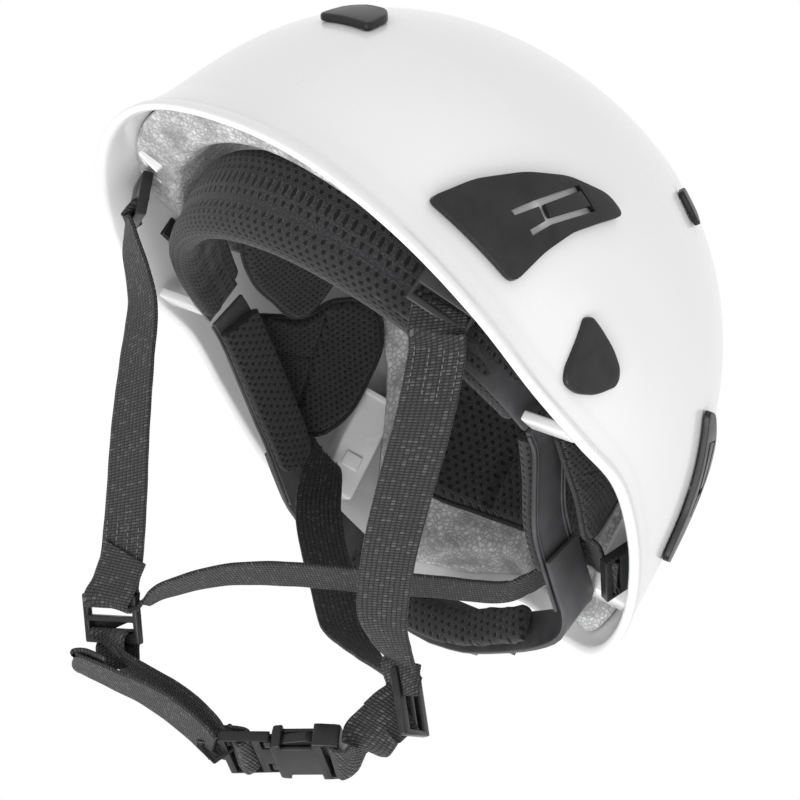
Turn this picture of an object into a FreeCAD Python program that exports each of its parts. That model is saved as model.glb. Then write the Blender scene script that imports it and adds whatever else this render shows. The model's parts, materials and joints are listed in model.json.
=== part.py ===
import FreeCAD, Part
import math
import os
import Sketcher

V = FreeCAD.Vector
doc = FreeCAD.newDocument("climbing_helmet")

# Driving dimensions, millimetres and degrees.
sheet = doc.addObject("Spreadsheet::Sheet", "Sizes")
SIZES = [
    ("shell_half_width", 111.5), ("shell_front", 149.2), ("shell_back", 138.0), ("shell_height", 140.0),
    ("shell_power", 2.25), ("shell_centre_y", 19.1), ("shell_centre_z", -10.0), ("shell_wall", 3.0),
    ("lower_stretch", 1.35), ("lip_flare", 13.4), ("lip_fade", 0.12), ("apex_ring", 7.0),
    ("foam_gap", 0.5), ("foam_thickness", 21.5),
    ("clip_gap", 0.8), ("clip_thickness", 2.4), ("cover_thickness", 3.0), ("slot_length", 20.0),
    ("slot_height", 8.0), ("slot_depth", 24.0), ("plug_length", 19.4), ("plug_height", 7.4),
    ("plug_shank", 5.0), ("web_width", 20.0), ("web_thickness", 1.4),
    ("band_thickness", 1.8), ("band_front_height", 28.0), ("band_side_height", 20.0),
    ("band_half_width", 82.0), ("band_front_reach", 95.0), ("pad_thickness", 7.0),
    ("divider_width", 25.0), ("divider_length", 19.0), ("divider_thickness", 3.2),
    ("divider_slot", 4.0), ("divider_bar", 2.2),
    ("anchor_width", 24.0), ("anchor_length", 17.0), ("anchor_thickness", 4.0),
    ("buckle_width", 24.0), ("buckle_thickness", 9.6), ("female_length", 26.0), ("male_length", 19.4),
    ("cavity_width", 19.6), ("cavity_height", 5.8), ("cavity_depth", 18.0), ("prong_thickness", 4.2),
    ("knob_radius", 12.0), ("knob_depth", 6.0), ("knob_notch", 1.1), ("knob_notches", 18),
    ("pinion_radius", 6.0), ("pinion_depth", 5.0), ("axle_radius", 2.4),
    ("housing_width", 46.0), ("housing_height", 24.0), ("housing_depth", 9.0), ("housing_wall", 1.8),
    ("rack_length", 20.4), ("rack_height", 3.0), ("rack_depth", 4.0), ("tooth_pitch", 3.14),
    ("nape_y", 125.2), ("nape_z", -61.0), ("hanger_width", 9.0), ("hanger_height", 4.0),
    ("hanger_reach", 20.0),
]
for row, (alias, value) in enumerate(SIZES, start=1):
    sheet.set("A%d" % row, alias)
    sheet.set("B%d" % row, str(value))
    sheet.setAlias("B%d" % row, alias)
doc.recompute()


def size(alias):
    return float(sheet.get(alias))


PARTS = []


def keep(obj, label):
    """Name a finished sub-part; the label is also its file name."""
    obj.Label = label
    PARTS.append(obj)
    return obj


def frame(origin, x_axis, y_axis):
    """Placement whose X and Y run along two given directions."""
    x = V(*x_axis).normalize()
    z = x.cross(V(*y_axis)).normalize()
    y = z.cross(x)
    m = FreeCAD.Matrix(x.x, y.x, z.x, origin[0], x.y, y.y, z.y, origin[1],
                       x.z, y.z, z.z, origin[2], 0, 0, 0, 1)
    return FreeCAD.Placement(m)


# ---------------------------------------------------------------- helmet form
# Height angle of the rim above the form's centre, every 15 degrees from front to back.
RIM_ANGLES = (12.1, 11.7, 9.4, 5.7, 1.4, -1.0, -2.5, -8.2, -14.5, -19.0, -20.9, -18.6, -14.5)
# Height angle of the foam liner's lower edge, same bearings.
FOAM_ANGLES = (16.5, 15.5, 14.0, 13.0, 14.0, 18.0, 24.0, 27.5, 25.5, 16.0, -15.0, -15.5, -11.0)


def along(table, bearing):
    """Smooth value of a front to back table at a bearing in radians."""
    pos = abs(math.degrees(bearing)) / 15.0
    i = min(int(pos), len(table) - 2)
    f = pos - i
    last = len(table) - 1
    a = table[max(i - 1, 0)] if i > 0 else table[1]
    b = table[i]
    c = table[i + 1]
    d = table[i + 2] if i + 2 <= last else table[last - 1]
    value = b + 0.5 * f * (c - a + f * (2 * a - 5 * b + 4 * c - d + f * (3 * (b - c) + d - a)))
    return math.radians(value)


def form_radius(bearing, height):
    """Distance from the form's centre to the outer skin, without the lip flare."""
    dx = math.cos(height) * math.sin(bearing)
    dy = -math.cos(height) * math.cos(bearing)
    dz = math.sin(height)
    reach = size("shell_front") if dy < 0 else size("shell_back")
    up = size("shell_height") * (size("lower_stretch") if dz < 0 else 1.0)
    plan = math.hypot(dx / size("shell_half_width"), dy / reach)
    n = size("shell_power")
    return (plan ** n + abs(dz / up) ** n) ** (-1.0 / n)


def skin(bearing, height, inward=0.0):
    """Point on the outer skin, moved inward by a distance."""
    flare = size("lip_flare") * max(math.cos(bearing), 0.0) ** 1.5
    above = max(height - along(RIM_ANGLES, bearing), 0.0)
    r = form_radius(bearing, height) + flare * math.exp(-above / size("lip_fade")) - inward
    return V(r * math.cos(height) * math.sin(bearing),
             size("shell_centre_y") - r * math.cos(height) * math.cos(bearing),
             size("shell_centre_z") + r * math.sin(height))


def normal(bearing, height):
    e = 0.01
    du = skin(bearing + e, height) - skin(bearing - e, height)
    dv = skin(bearing, height + e) - skin(bearing, height - e)
    return du.cross(dv).normalize()


BEARINGS = [math.radians(-180 + 7.5 * i) for i in range(48)]
STEPS = (0.0, 0.05, 0.12, 0.21, 0.32, 0.45, 0.58, 0.70, 0.81, 0.91)


def ring(table, step, inward):
    points = []
    for b in BEARINGS:
        low = along(table, b)
        points.append(skin(b, low + (math.pi / 2 - low) * step, inward))
    curve = Part.BSplineCurve()
    curve.interpolate(Points=points, PeriodicFlag=True)
    return Part.Wire([curve.toShape()])


def dome(table, inward):
    """Skin faces from the rim to a small flat crown, with the rim and crown wires."""
    wires = [ring(table, s, inward) for s in STEPS]
    radius = size("apex_ring")
    top = size("shell_centre_z") + size("shell_height") - inward
    cap_points = [V(radius * math.sin(b), size("shell_centre_y") - radius * math.cos(b), top)
                  for b in BEARINGS]
    curve = Part.BSplineCurve()
    curve.interpolate(Points=cap_points, PeriodicFlag=True)
    cap = Part.Wire([curve.toShape()])
    loft = Part.makeLoft(wires + [cap], False, False)
    return loft, wires[0], cap


def hollow_dome(table, outer_inward, inner_inward):
    outer, outer_rim, outer_cap = dome(table, outer_inward)
    inner, inner_rim, inner_cap = dome(table, inner_inward)
    edge = Part.makeRuledSurface(outer_rim.Edges[0], inner_rim.Edges[0])
    faces = outer.Faces + inner.Faces + edge.Faces + [Part.Face(outer_cap), Part.Face(inner_cap)]
    shell = Part.makeShell(faces)
    shell.sewShape()
    solid = Part.makeSolid(shell)
    if solid.Volume < 0:
        solid.reverse()
    return solid


def feature(name, shape):
    obj = doc.addObject("Part::Feature", name)
    obj.Shape = shape
    return obj


def bound_box(name, aliases, placement):
    box = doc.addObject("Part::Box", name)
    for prop, alias in zip(("Length", "Width", "Height"), aliases):
        box.setExpression(prop, "Sizes." + alias)
    box.Placement = placement
    return box


def centred(aliases, origin, x_axis=(1, 0, 0), y_axis=(0, 1, 0)):
    """Placement that puts a box's middle at the origin point."""
    half = V(*[size(a) / 2 for a in aliases])
    place = frame(origin, x_axis, y_axis)
    return place.multiply(FreeCAD.Placement(-half, FreeCAD.Rotation()))


# ------------------------------------------------------------ shell and foam
SLOT_POINT = (math.radians(69.0), math.radians(11.5))


def mirror_x(shape):
    return shape.mirror(V(0, 0, 0), V(1, 0, 0))


shell_blank = feature("shell_blank", hollow_dome(RIM_ANGLES, 0.0, size("shell_wall")))
slot_cutters = []
for side in (1, -1):
    at = skin(side * SLOT_POINT[0], SLOT_POINT[1])
    cutter = bound_box("slot_cutter_%s" % ("left" if side > 0 else "right"),
                       ("slot_depth", "slot_length", "slot_height"),
                       centred(("slot_depth", "slot_length", "slot_height"), at))
    slot_cutters.append(cutter)
first_cut = doc.addObject("Part::Cut", "shell_one_slot")
first_cut.Base = shell_blank
first_cut.Tool = slot_cutters[0]
shell = doc.addObject("Part::Cut", "shell_cut")
shell.Base = first_cut
shell.Tool = slot_cutters[1]
keep(shell, "shell")

foam_out = size("shell_wall") + size("foam_gap")
foam_blank = feature("foam_blank", hollow_dome(FOAM_ANGLES, foam_out, foam_out + size("foam_thickness")))
foam_cut = doc.addObject("Part::Cut", "foam_one_recess")
foam_cut.Base = foam_blank
foam_cut.Tool = slot_cutters[0]
foam = doc.addObject("Part::Cut", "foam_recessed")
foam.Base = foam_cut
foam.Tool = slot_cutters[1]
keep(foam, "foam_liner")


# ----------------------------------------------------------- pieces on the skin
def skin_slab(bearing, height, half_span, off, thick):
    """Curved slab that follows the outer skin, raised by off, thick along the local normal."""
    n = normal(bearing, height)
    grid = []
    count = 9
    for i in range(count):
        row = []
        for j in range(count):
            b = bearing + half_span * (2.0 * i / (count - 1) - 1) / max(math.cos(height), 0.4)
            h = height + half_span * (2.0 * j / (count - 1) - 1)
            row.append(skin(b, h, -off))
        grid.append(row)
    surface = Part.BSplineSurface()
    surface.interpolate(grid)
    return surface.toShape().extrude(n * thick)


def skin_piece(bearing, height, e1, outline, off, thick, holes=()):
    """Plate on the skin: a flat outline in mm around a skin point, cut from a curved slab."""
    n = normal(bearing, height)
    origin = skin(bearing, height)
    x = (V(*e1) - n * V(*e1).dot(n)).normalize()
    y = n.cross(x)

    def prism(points):
        flat = [origin + x * p[0] + y * p[1] - n * 40 for p in points]
        return Part.Face(Part.makePolygon(flat + [flat[0]])).extrude(n * 80)

    body = skin_slab(bearing, height, 0.42, off, thick).common(prism(outline))
    for hole in holes:
        body = body.cut(prism(hole))
    return body.Solids[0] if body.Solids else body


def rounded(points, radius, steps=4):
    """Corners of a polygon replaced by short arcs."""
    out = []
    count = len(points)
    for i in range(count):
        p = V(points[i][0], points[i][1], 0)
        a = V(points[i - 1][0], points[i - 1][1], 0)
        b = V(points[(i + 1) % count][0], points[(i + 1) % count][1], 0)
        da = (a - p)
        db = (b - p)
        r = min(radius, da.Length * 0.45, db.Length * 0.45)
        p1 = p + da.normalize() * r
        p2 = p + db.normalize() * r
        for k in range(steps + 1):
            t = k / steps
            q = p1 * (1 - t) ** 2 + p * 2 * t * (1 - t) + p2 * t ** 2
            out.append((q.x, q.y))
    return out


# Lamp strap clip in its own plane: X from the lower corner to the upper rear tip.
CLIP_OUTLINE = ((0.0, 0.0), (18.0, 3.2), (34.0, 3.6), (50.0, 0.8), (61.5, -1.5), (59.0, 8.0),
                (45.0, 21.0), (28.5, 30.0), (8.0, 37.0), (-12.0, 39.5))
CLIP_WINDOW = ((26.2, 10.0), (48.0, 5.6), (47.0, 16.4), (26.8, 19.9), (13.6, 21.6), (13.9, 19.4),
               (25.0, 17.6), (24.4, 12.2), (16.5, 12.4), (16.4, 10.2))
TONGUE_OUTLINE = ((27.4, 12.2), (47.4, 8.0), (46.6, 14.4), (27.9, 17.2))
CLIP_CENTRE = (24.0, 17.0)


def shifted(points, centre):
    return [(p[0] - centre[0], p[1] - centre[1]) for p in points]


# Bearing and height angle of the clip's middle, and its long direction, on the left side.
CLIPS = {
    "front": (math.radians(46.5), math.radians(26.5), (-0.047, 0.631, 0.774), 1),
    "rear": (math.radians(128.0), math.radians(9.0), (0.10, -0.45, 0.86), -1),
}
CLIP_DATA = {}
for where, (bearing, height, direction, flip) in CLIPS.items():
    def turned(points):
        moved = shifted(points, CLIP_CENTRE)
        return [(p[0], flip * p[1]) for p in moved]

    plate = skin_piece(bearing, height, direction, turned(rounded(CLIP_OUTLINE, 4.0)),
                       size("clip_gap"), size("clip_thickness"), (turned(CLIP_WINDOW),))
    tongue = skin_piece(bearing, height, direction, turned(TONGUE_OUTLINE),
                        size("clip_gap"), size("clip_thickness"))
    n = normal(bearing, height)
    x = (V(*direction) - n * V(*direction).dot(n)).normalize()
    y = n.cross(x)
    root = turned([(47.2, 11.4)])[0]
    mean = turned([(37.0, 13.0)])[0]
    pivot = skin(bearing, height) + x * root[0] + y * root[1] + n * 2.0
    CLIP_DATA[where] = (pivot, y)
    for side, label in ((1, "left"), (-1, "right")):
        one = plate if side > 0 else mirror_x(plate)
        two = tongue if side > 0 else mirror_x(tongue)
        keep(feature("clip_%s_%s" % (where, label), one), "lamp_clip_%s_%s" % (where, label))
        keep(feature("tongue_%s_%s" % (where, label), two), "clip_tongue_%s_%s" % (where, label))

# Side slot plug: a raised cover on the skin with a shank that fills the slot.
PLUG_OUTLINE = ((-11.6, 13.3), (-11.4, 5.3), (-12.1, -6.8), (-10.2, -11.5), (-3.3, -12.0), (5.6, -8.2),
                (13.5, -1.3), (13.8, 2.0), (11.9, 5.7), (5.6, 9.9), (-3.7, 13.6), (-8.8, 15.1))
plug_centre = skin(*SLOT_POINT)
plate = skin_piece(SLOT_POINT[0], SLOT_POINT[1], (0, 1, 0), rounded(PLUG_OUTLINE, 3.0),
                   0.3, size("cover_thickness"))
shank_reach = size("plug_shank")
shank = Part.makeBox(shank_reach + 6.0, size("plug_length"), size("plug_height"),
                     V(plug_centre.x - shank_reach - 1.0, plug_centre.y - size("plug_length") / 2,
                       plug_centre.z - size("plug_height") / 2))
outer_trim = skin_slab(SLOT_POINT[0], SLOT_POINT[1], 0.42, 1.5, 30.0)
plug = plate.fuse(shank.cut(outer_trim)).removeSplitter()
plug = plug.Solids[0]
keep(feature("plug_left", plug), "slot_plug_left")
keep(feature("plug_right", mirror_x(plug)), "slot_plug_right")

# Front centre cover on the crown line and two small crown covers.
FRONT_COVER = ((-12.5, -8.0), (12.5, -8.0), (11.0, 4.0), (5.0, 10.0), (-5.0, 10.0), (-11.0, 4.0))
front_cover = skin_piece(0.0, math.radians(41.5), (1, 0, 0), rounded(FRONT_COVER, 3.0),
                         0.3, size("cover_thickness"))
keep(feature("front_cover_piece", front_cover), "front_cover")
CROWN_COVER = ((-7.5, -3.0), (4.0, -3.0), (8.0, 0.0), (4.0, 3.0), (-7.5, 3.0))
crown = skin_piece(math.radians(95.0), math.radians(53.0), (0.4, 0.8, -0.5), rounded(CROWN_COVER, 1.5),
                   0.3, size("clip_thickness"))
keep(feature("crown_cover_l", crown), "crown_cover_left")
keep(feature("crown_cover_r", mirror_x(crown)), "crown_cover_right")


# --------------------------------------------------------------------- ribbons
def ribbon(stations, width, thick):
    """Closed strip through (point, width direction, width scale) stations."""
    wires = []
    count = len(stations)
    for i, (p, w, scale) in enumerate(stations):
        tangent = stations[min(i + 1, count - 1)][0] - stations[max(i - 1, 0)][0]
        tangent.normalize()
        across = (w - tangent * w.dot(tangent)).normalize()
        up = tangent.cross(across)
        a = across * (width * scale / 2)
        b = up * (thick / 2)
        corners = [p - a - b, p + a - b, p + a + b, p - a + b]
        wires.append(Part.makePolygon(corners + [corners[0]]))
    solid = Part.makeLoft(wires, True, True)
    if solid.Volume < 0:
        solid.reverse()
    return solid


def smooth(points, per_span=3):
    """Points along a Catmull-Rom curve through the given ones."""
    pts = [V(*p) for p in points]
    out = []
    for i in range(len(pts) - 1):
        a = pts[max(i - 1, 0)]
        b = pts[i]
        c = pts[i + 1]
        d = pts[min(i + 2, len(pts) - 1)]
        for k in range(per_span):
            f = k / per_span
            out.append(b + ((c - a) + ((a * 2 - b * 5 + c * 4 - d)
                                       + ((b - c) * 3 + d - a) * f) * f) * (0.5 * f))
    out.append(pts[-1])
    return out


def strap(points, directions):
    """Webbing strip; width directions are spread evenly along it."""
    path = smooth(points)
    last = len(path) - 1
    spans = len(directions) - 1
    stations = []
    for i, p in enumerate(path):
        pos = spans * i / last
        k = min(int(pos), spans - 1)
        f = pos - k
        w = V(*directions[k]) * (1 - f) + V(*directions[k + 1]) * f
        stations.append((p, w.normalize(), 1.0))
    return ribbon(stations, size("web_width"), size("web_thickness"))


# -------------------------------------------------------------------- headband
def band_point(angle, z_front, z_side, grow=0.0):
    """Front band: half an oval from side to side, angle 0 at the front."""
    x = (size("band_half_width") + grow) * math.sin(angle)
    y = -(size("band_front_reach") + grow) * math.cos(angle)
    fall = (1 - math.cos(angle)) / 1.0
    return V(x, y, z_front + (z_side - z_front) * min(fall, 1.0))


def front_strip(width, thick, grow, half_angle, narrow):
    stations = []
    count = 22
    for i in range(count + 1):
        a = math.radians(half_angle * (2.0 * i / count - 1))
        edge = abs(2.0 * i / count - 1)
        stations.append((band_point(a, 17.0, -3.0, grow), V(0, 0, 1), 1.0 - narrow * edge ** 2))
    return ribbon(stations, width, thick)


half_band = size("band_thickness") / 2
keep(feature("band_front", front_strip(size("band_front_height"), size("band_thickness"), 0.0, 88, 0.3)),
     "headband_front")
pad_in = half_band + size("pad_thickness") / 2 + 0.3
keep(feature("pad_front", front_strip(size("band_front_height") + 4, size("pad_thickness"), -pad_in, 66, 0.35)),
     "forehead_pad")

SIDE_PATH = ((81.6, 0.5, -3.4), (80.4, 12.0, -8.0), (76.6, 27.0, -17.5), (73.0, 42.0, -27.0),
             (71.5, 52.0, -32.4), (71.5, 68.0, -40.6), (71.5, 82.0, -47.7))
SIDE_UP = V(0, 0.457, 0.889)


def side_strip(points, width, thick, side):
    stations = [(V(side * p.x, p.y, p.z), SIDE_UP, 1.0) for p in smooth(points)]
    return ribbon(stations, width, thick)


def inset(points, depth):
    return [(p[0] - depth, p[1], p[2]) for p in points]


for side, label in ((1, "left"), (-1, "right")):
    band = side_strip(SIDE_PATH, size("band_side_height") - 2, size("band_thickness"), side)
    keep(feature("band_" + label, band), "side_band_" + label)
    pad = side_strip(inset(SIDE_PATH[1:5], 3.4), size("band_side_height") - 4, 4.0, side)
    keep(feature("band_pad_" + label, pad), "band_pad_" + label)

# Nape cradle: arms outside the side bands, then round behind the head.
NAPE_PATH = ((75.0, 58.0, -35.5), (75.0, 71.0, -42.1), (74.2, 86.0, -49.0), (66.0, 97.5, -54.5),
             (50.0, 106.0, -60.5), (30.0, 110.2, -67.5), (15.0, 111.4, -72.0), (0.0, 111.4, -73.5))
cradle_half = smooth(NAPE_PATH)
cradle_path = [V(p.x, p.y, p.z) for p in cradle_half]
cradle_path += [V(-p.x, p.y, p.z) for p in reversed(cradle_half[:-1])]
stations = []
for p in cradle_path:
    turn = max(0.0, min(1.0, (p.y - 86.0) / 22.0))
    up = SIDE_UP * (1 - turn) + V(0, 0, 1) * turn
    stations.append((p, up.normalize(), 1.0 - 0.06 * turn))
keep(feature("cradle", ribbon(stations, size("band_side_height") - 2, 2.2)), "nape_cradle")
pad_path = [V(p.x * 0.94, p.y - 6.2, p.z) for p in cradle_path if p.y > 105.0]
pad_stations = [(p, V(0, 0, 1), 1.0) for p in pad_path]
keep(feature("nape_pad_piece", ribbon(pad_stations, size("band_side_height") - 4, size("pad_thickness"))),
     "nape_pad")


# ------------------------------------------------------------- body helpers
def plane_of(body, role):
    return [o for o in body.Origin.OriginFeatures if o.Role == role][0]


def sketch_on(body, name, role="XY_Plane"):
    sketch = body.newObject("Sketcher::SketchObject", name)
    sketch.AttachmentSupport = [(plane_of(body, role), "")]
    sketch.MapMode = "FlatFace"
    return sketch


def draw_rect(sketch, width, height, x=0.0, y=0.0, names=None):
    """Rectangle about a point; width and height follow the sheet when aliases are given."""
    a, b = width / 2, height / 2
    first = sketch.GeometryCount
    corners = [V(x - a, y - b, 0), V(x + a, y - b, 0), V(x + a, y + b, 0), V(x - a, y + b, 0)]
    for i in range(4):
        sketch.addGeometry(Part.LineSegment(corners[i], corners[(i + 1) % 4]), False)
    for i in range(4):
        sketch.addConstraint(Sketcher.Constraint("Coincident", first + i, 2, first + (i + 1) % 4, 1))
    for i, kind in enumerate(("Horizontal", "Vertical", "Horizontal", "Vertical")):
        sketch.addConstraint(Sketcher.Constraint(kind, first + i))
    if names:
        row = sketch.addConstraint(Sketcher.Constraint("DistanceX", first, 1, first, 2, width))
        sketch.setExpression("Constraints[%d]" % row, "Sizes." + names[0])
        row = sketch.addConstraint(Sketcher.Constraint("DistanceY", first + 1, 1, first + 1, 2, height))
        sketch.setExpression("Constraints[%d]" % row, "Sizes." + names[1])
        sketch.addConstraint(Sketcher.Constraint("Symmetric", first, 1, first + 2, 1, -1, 1))


def draw_polygon(sketch, points):
    first = sketch.GeometryCount
    count = len(points)
    for i in range(count):
        p = points[i]
        q = points[(i + 1) % count]
        sketch.addGeometry(Part.LineSegment(V(p[0], p[1], 0), V(q[0], q[1], 0)), False)
    for i in range(count):
        sketch.addConstraint(Sketcher.Constraint("Coincident", first + i, 2, first + (i + 1) % count, 1))


def pad_sketch(body, sketch, alias, both=True):
    pad = body.newObject("PartDesign::Pad", sketch.Name + "_pad")
    pad.Profile = sketch
    pad.setExpression("Length", "Sizes." + alias)
    pad.Midplane = both
    doc.recompute()
    return pad


def cut_sketch(body, sketch):
    """Pocket right through, both ways; it must remove material."""
    before = body.Shape.Volume
    pocket = body.newObject("PartDesign::Pocket", sketch.Name + "_cut")
    pocket.Profile = sketch
    pocket.Type = 1
    pocket.Midplane = True
    doc.recompute()
    if body.Shape.Volume >= before - 1e-6:
        raise ValueError("pocket removed nothing: " + sketch.Name)
    return pocket


def depth_cut(body, sketch, alias):
    before = body.Shape.Volume
    pocket = body.newObject("PartDesign::Pocket", sketch.Name + "_cut")
    pocket.Profile = sketch
    pocket.setExpression("Length", "Sizes." + alias)
    pocket.Midplane = True
    doc.recompute()
    if body.Shape.Volume >= before - 1e-6:
        raise ValueError("pocket removed nothing: " + sketch.Name)
    return pocket


# ------------------------------------------------------------ strap hardware
RIGHT_DIVIDER = (V(-44.8, -13.6, -134.4), V(0.939, 0.052, 0.299), V(-0.05, 0.50, -0.86))
LEFT_DIVIDER = (V(63.4, 31.6, -113.4), V(0.51, 0.27, -0.81), V(-0.24, 0.91, 0.35))


def divider(name, data):
    body = doc.addObject("PartDesign::Body", name)
    outline = sketch_on(body, name + "_outline")
    draw_rect(outline, size("divider_width"), size("divider_length"), 0, 0,
              ("divider_width", "divider_length"))
    pad_sketch(body, outline, "divider_thickness")
    gap = size("divider_slot")
    inner = size("divider_width") - 2 * size("divider_bar")
    pitch = gap + size("divider_bar")
    slots = sketch_on(body, name + "_slots")
    for k in (-1, 1):
        draw_rect(slots, inner, gap, 0, k * pitch / 2)
    cut_sketch(body, slots)
    body.Placement = frame(data[0], data[1], data[2])
    return body


keep(divider("divider_r", RIGHT_DIVIDER), "strap_divider_right")
keep(divider("divider_l", LEFT_DIVIDER), "strap_divider_left")

# Anchors sit inside the rim: X along the rim, Y down the strap.
ANCHORS = {
    "front": (V(78.0, -72.3, 8.1), V(0.74, 0.66, -0.12), V(-0.20, 0.20, -0.95)),
    "rear": (V(88.0, 80.5, -31.0), V(-0.25, 0.88, -0.40), V(-0.35, 0.10, -0.93)),
}


def anchor(name, data, side):
    body = doc.addObject("PartDesign::Body", name)
    outline = sketch_on(body, name + "_outline")
    w = size("anchor_width")
    length = size("anchor_length")
    draw_rect(outline, w, length, 0, 0, ("anchor_width", "anchor_length"))
    pad_sketch(body, outline, "anchor_thickness")
    window = sketch_on(body, name + "_window")
    draw_rect(window, size("web_width") + 1.0, size("divider_slot"), 0, length / 2 - 5.0)
    cut_sketch(body, window)
    place = [V(side * d.x, d.y, d.z) for d in data]
    body.Placement = frame(place[0], place[1], place[2])
    return body


for where, data in ANCHORS.items():
    for side, label in ((1, "left"), (-1, "right")):
        name = "anchor_%s_%s" % (where, label)
        keep(anchor(name + "_body", data, side), "strap_" + name)

STRAPS = {
    "strap_front_right": (
        ((-78.2, -72.4, -1.8), (-73.2, -69.6, -9.0), (-63.0, -61.1, -25.3), (-56.5, -55.0, -46.2),
         (-52.4, -47.0, -66.8), (-47.6, -34.2, -93.4), (-45.8, -25.0, -110.5), (-45.2, -20.0, -122.0)),
        ((0.50, -0.80, 0.30), (0.92, -0.25, 0.20), (0.95, -0.05, 0.27), (0.939, 0.052, 0.299))),
    "strap_front_left": (
        ((78.8, -70.2, -4.8), (78.9, -64.5, -10.9), (76.1, -51.4, -30.4), (69.0, -33.2, -55.9),
         (63.4, -17.8, -75.0), (58.4, 0.1, -91.9), (58.2, 12.0, -98.5), (60.0, 20.0, -102.4)),
        ((0.75, 0.60, 0.00), (0.864, 0.382, 0.316), (0.90, 0.15, 0.30), (0.90, 0.10, -0.20))),
    "strap_rear_right": (
        ((-82.4, 80.5, -32.6), (-76.0, 80.8, -29.5), (-69.0, 80.0, -30.5), (-62.0, 77.5, -41.0), (-55.0, 75.0, -52.0),
         (-42.2, 71.7, -65.0), (-17.4, 63.3, -82.7), (6.7, 54.1, -97.8), (33.8, 43.8, -105.5),
         (50.4, 38.2, -108.6)),
        ((0.10, 0.88, -0.30), (0.45, 0.80, -0.30), (0.75, 0.55, 0.05), (0.85, 0.35, 0.10),
         (0.50, 0.80, -0.20))),
    "strap_rear_left": (
        ((82.4, 80.5, -32.6), (76.0, 80.8, -29.5), (69.0, 80.0, -30.5), (62.0, 77.5, -41.0), (56.0, 75.0, -50.5),
         (48.6, 71.4, -57.8), (30.7, 53.6, -68.4), (14.2, 34.4, -79.1), (-3.5, 18.6, -88.8),
         (-20.4, 4.0, -100.6), (-33.0, -6.5, -115.0), (-36.5, -9.5, -121.5)),
        ((-0.10, 0.88, -0.30), (-0.45, 0.80, -0.35), (-0.55, 0.75, -0.30), (-0.45, 0.85, -0.30),
         (-0.55, 0.80, -0.10))),
    "chin_strap_right": (
        ((-40.5, -8.0, -145.6), (-34.0, -5.2, -147.2), (-24.0, 1.0, -148.2), (-12.0, 7.5, -149.6),
         (0.5, 12.6, -153.2), (7.0, 15.0, -156.4)),
        ((0.60, -0.75, 0.25), (0.60, -0.65, 0.35), (0.30, -0.80, 0.45))),
    "chin_tail": (
        ((-45.0, -18.5, -155.0), (-33.0, -11.5, -154.4), (-20.0, -4.0, -154.0), (-7.0, 3.0, -155.6),
         (3.5, 8.6, -158.6), (8.0, 10.6, -160.6)),
        ((0.60, -0.75, 0.25), (0.60, -0.65, 0.35), (0.30, -0.80, 0.45))),
    "chin_strap_left": (
        ((52.6, 30.6, -136.2), (54.4, 30.1, -133.4), (57.0, 29.0, -129.2), (59.2, 27.9, -124.8)),
        ((0.31, -0.85, 0.42), (0.02, -0.68, 0.66), (-0.26, -0.44, 0.76), (-0.46, -0.30, 0.80))),
}
for name, (points, directions) in STRAPS.items():
    keep(feature(name + "_web", strap(points, directions)), name)

# Side release buckle: X along the pull from the inserted half to the receiving half.
BUCKLE_ORIGIN = V(9.5, 16.2, -159.6)
BUCKLE_X = V(0.842, 0.316, 0.437)
BUCKLE_Y = V(0.31, -0.85, 0.42)
buckle_place = frame(BUCKLE_ORIGIN, BUCKLE_X, BUCKLE_Y)
male_end = size("male_length")
female_end = male_end + 0.5 + size("female_length")
half_width = size("buckle_width") / 2
mouth = male_end + 0.5


def placed_body(name):
    return doc.addObject("PartDesign::Body", name)


female = placed_body("buckle_socket")
outline = sketch_on(female, "socket_outline")
draw_polygon(outline, rounded(((mouth, -half_width + 1.2), (mouth + 6.0, -half_width + 0.6),
                               (mouth + 18.0, -half_width), (female_end, -half_width + 1.0),
                               (female_end, half_width - 1.0), (mouth + 18.0, half_width),
                               (mouth + 6.0, half_width - 0.6), (mouth, half_width - 1.2)), 1.5))
pad_sketch(female, outline, "buckle_thickness")
cavity = sketch_on(female, "socket_cavity")
cavity_end = mouth + size("cavity_depth")
cavity_half = size("cavity_width") / 2
draw_polygon(cavity, ((mouth - 2, -cavity_half), (cavity_end, -cavity_half),
                      (cavity_end, cavity_half), (mouth - 2, cavity_half)))
depth_cut(female, cavity, "cavity_height")
windows = sketch_on(female, "socket_windows")
for k in (-1, 1):
    draw_rect(windows, 12.0, 5.0, mouth + 10.0, k * (half_width - 0.9))
cut_sketch(female, windows)
bar = sketch_on(female, "socket_bar_slot")
draw_rect(bar, size("divider_slot"), size("web_width") + 1.0, female_end - 4.6, 0)
cut_sketch(female, bar)
female.Placement = buckle_place
keep(female, "buckle_female")

male = placed_body("buckle_plug")
outline = sketch_on(male, "plug_outline")
draw_polygon(outline, rounded(((0.0, -half_width + 0.6), (male_end, -half_width + 1.2),
                               (male_end, -2.2), (male_end + 15.0, -1.3), (male_end + 15.0, 1.3),
                               (male_end, 2.2), (male_end, half_width - 1.2),
                               (0.0, half_width - 0.6)), 0.8))
pad_sketch(male, outline, "prong_thickness")
slots = sketch_on(male, "plug_slots")
for k in (0, 1):
    draw_rect(slots, size("divider_slot"), size("web_width") + 1.0, 4.4 + k * (size("divider_slot") + 2.4), 0)
cut_sketch(male, slots)
roots = sketch_on(male, "plug_prong_seats")
for k in (-1, 1):
    draw_rect(roots, 4.2, 5.4, male_end - 1.6, k * 7.6)
cut_sketch(male, roots)
male.Placement = buckle_place
keep(male, "buckle_male")

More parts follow.
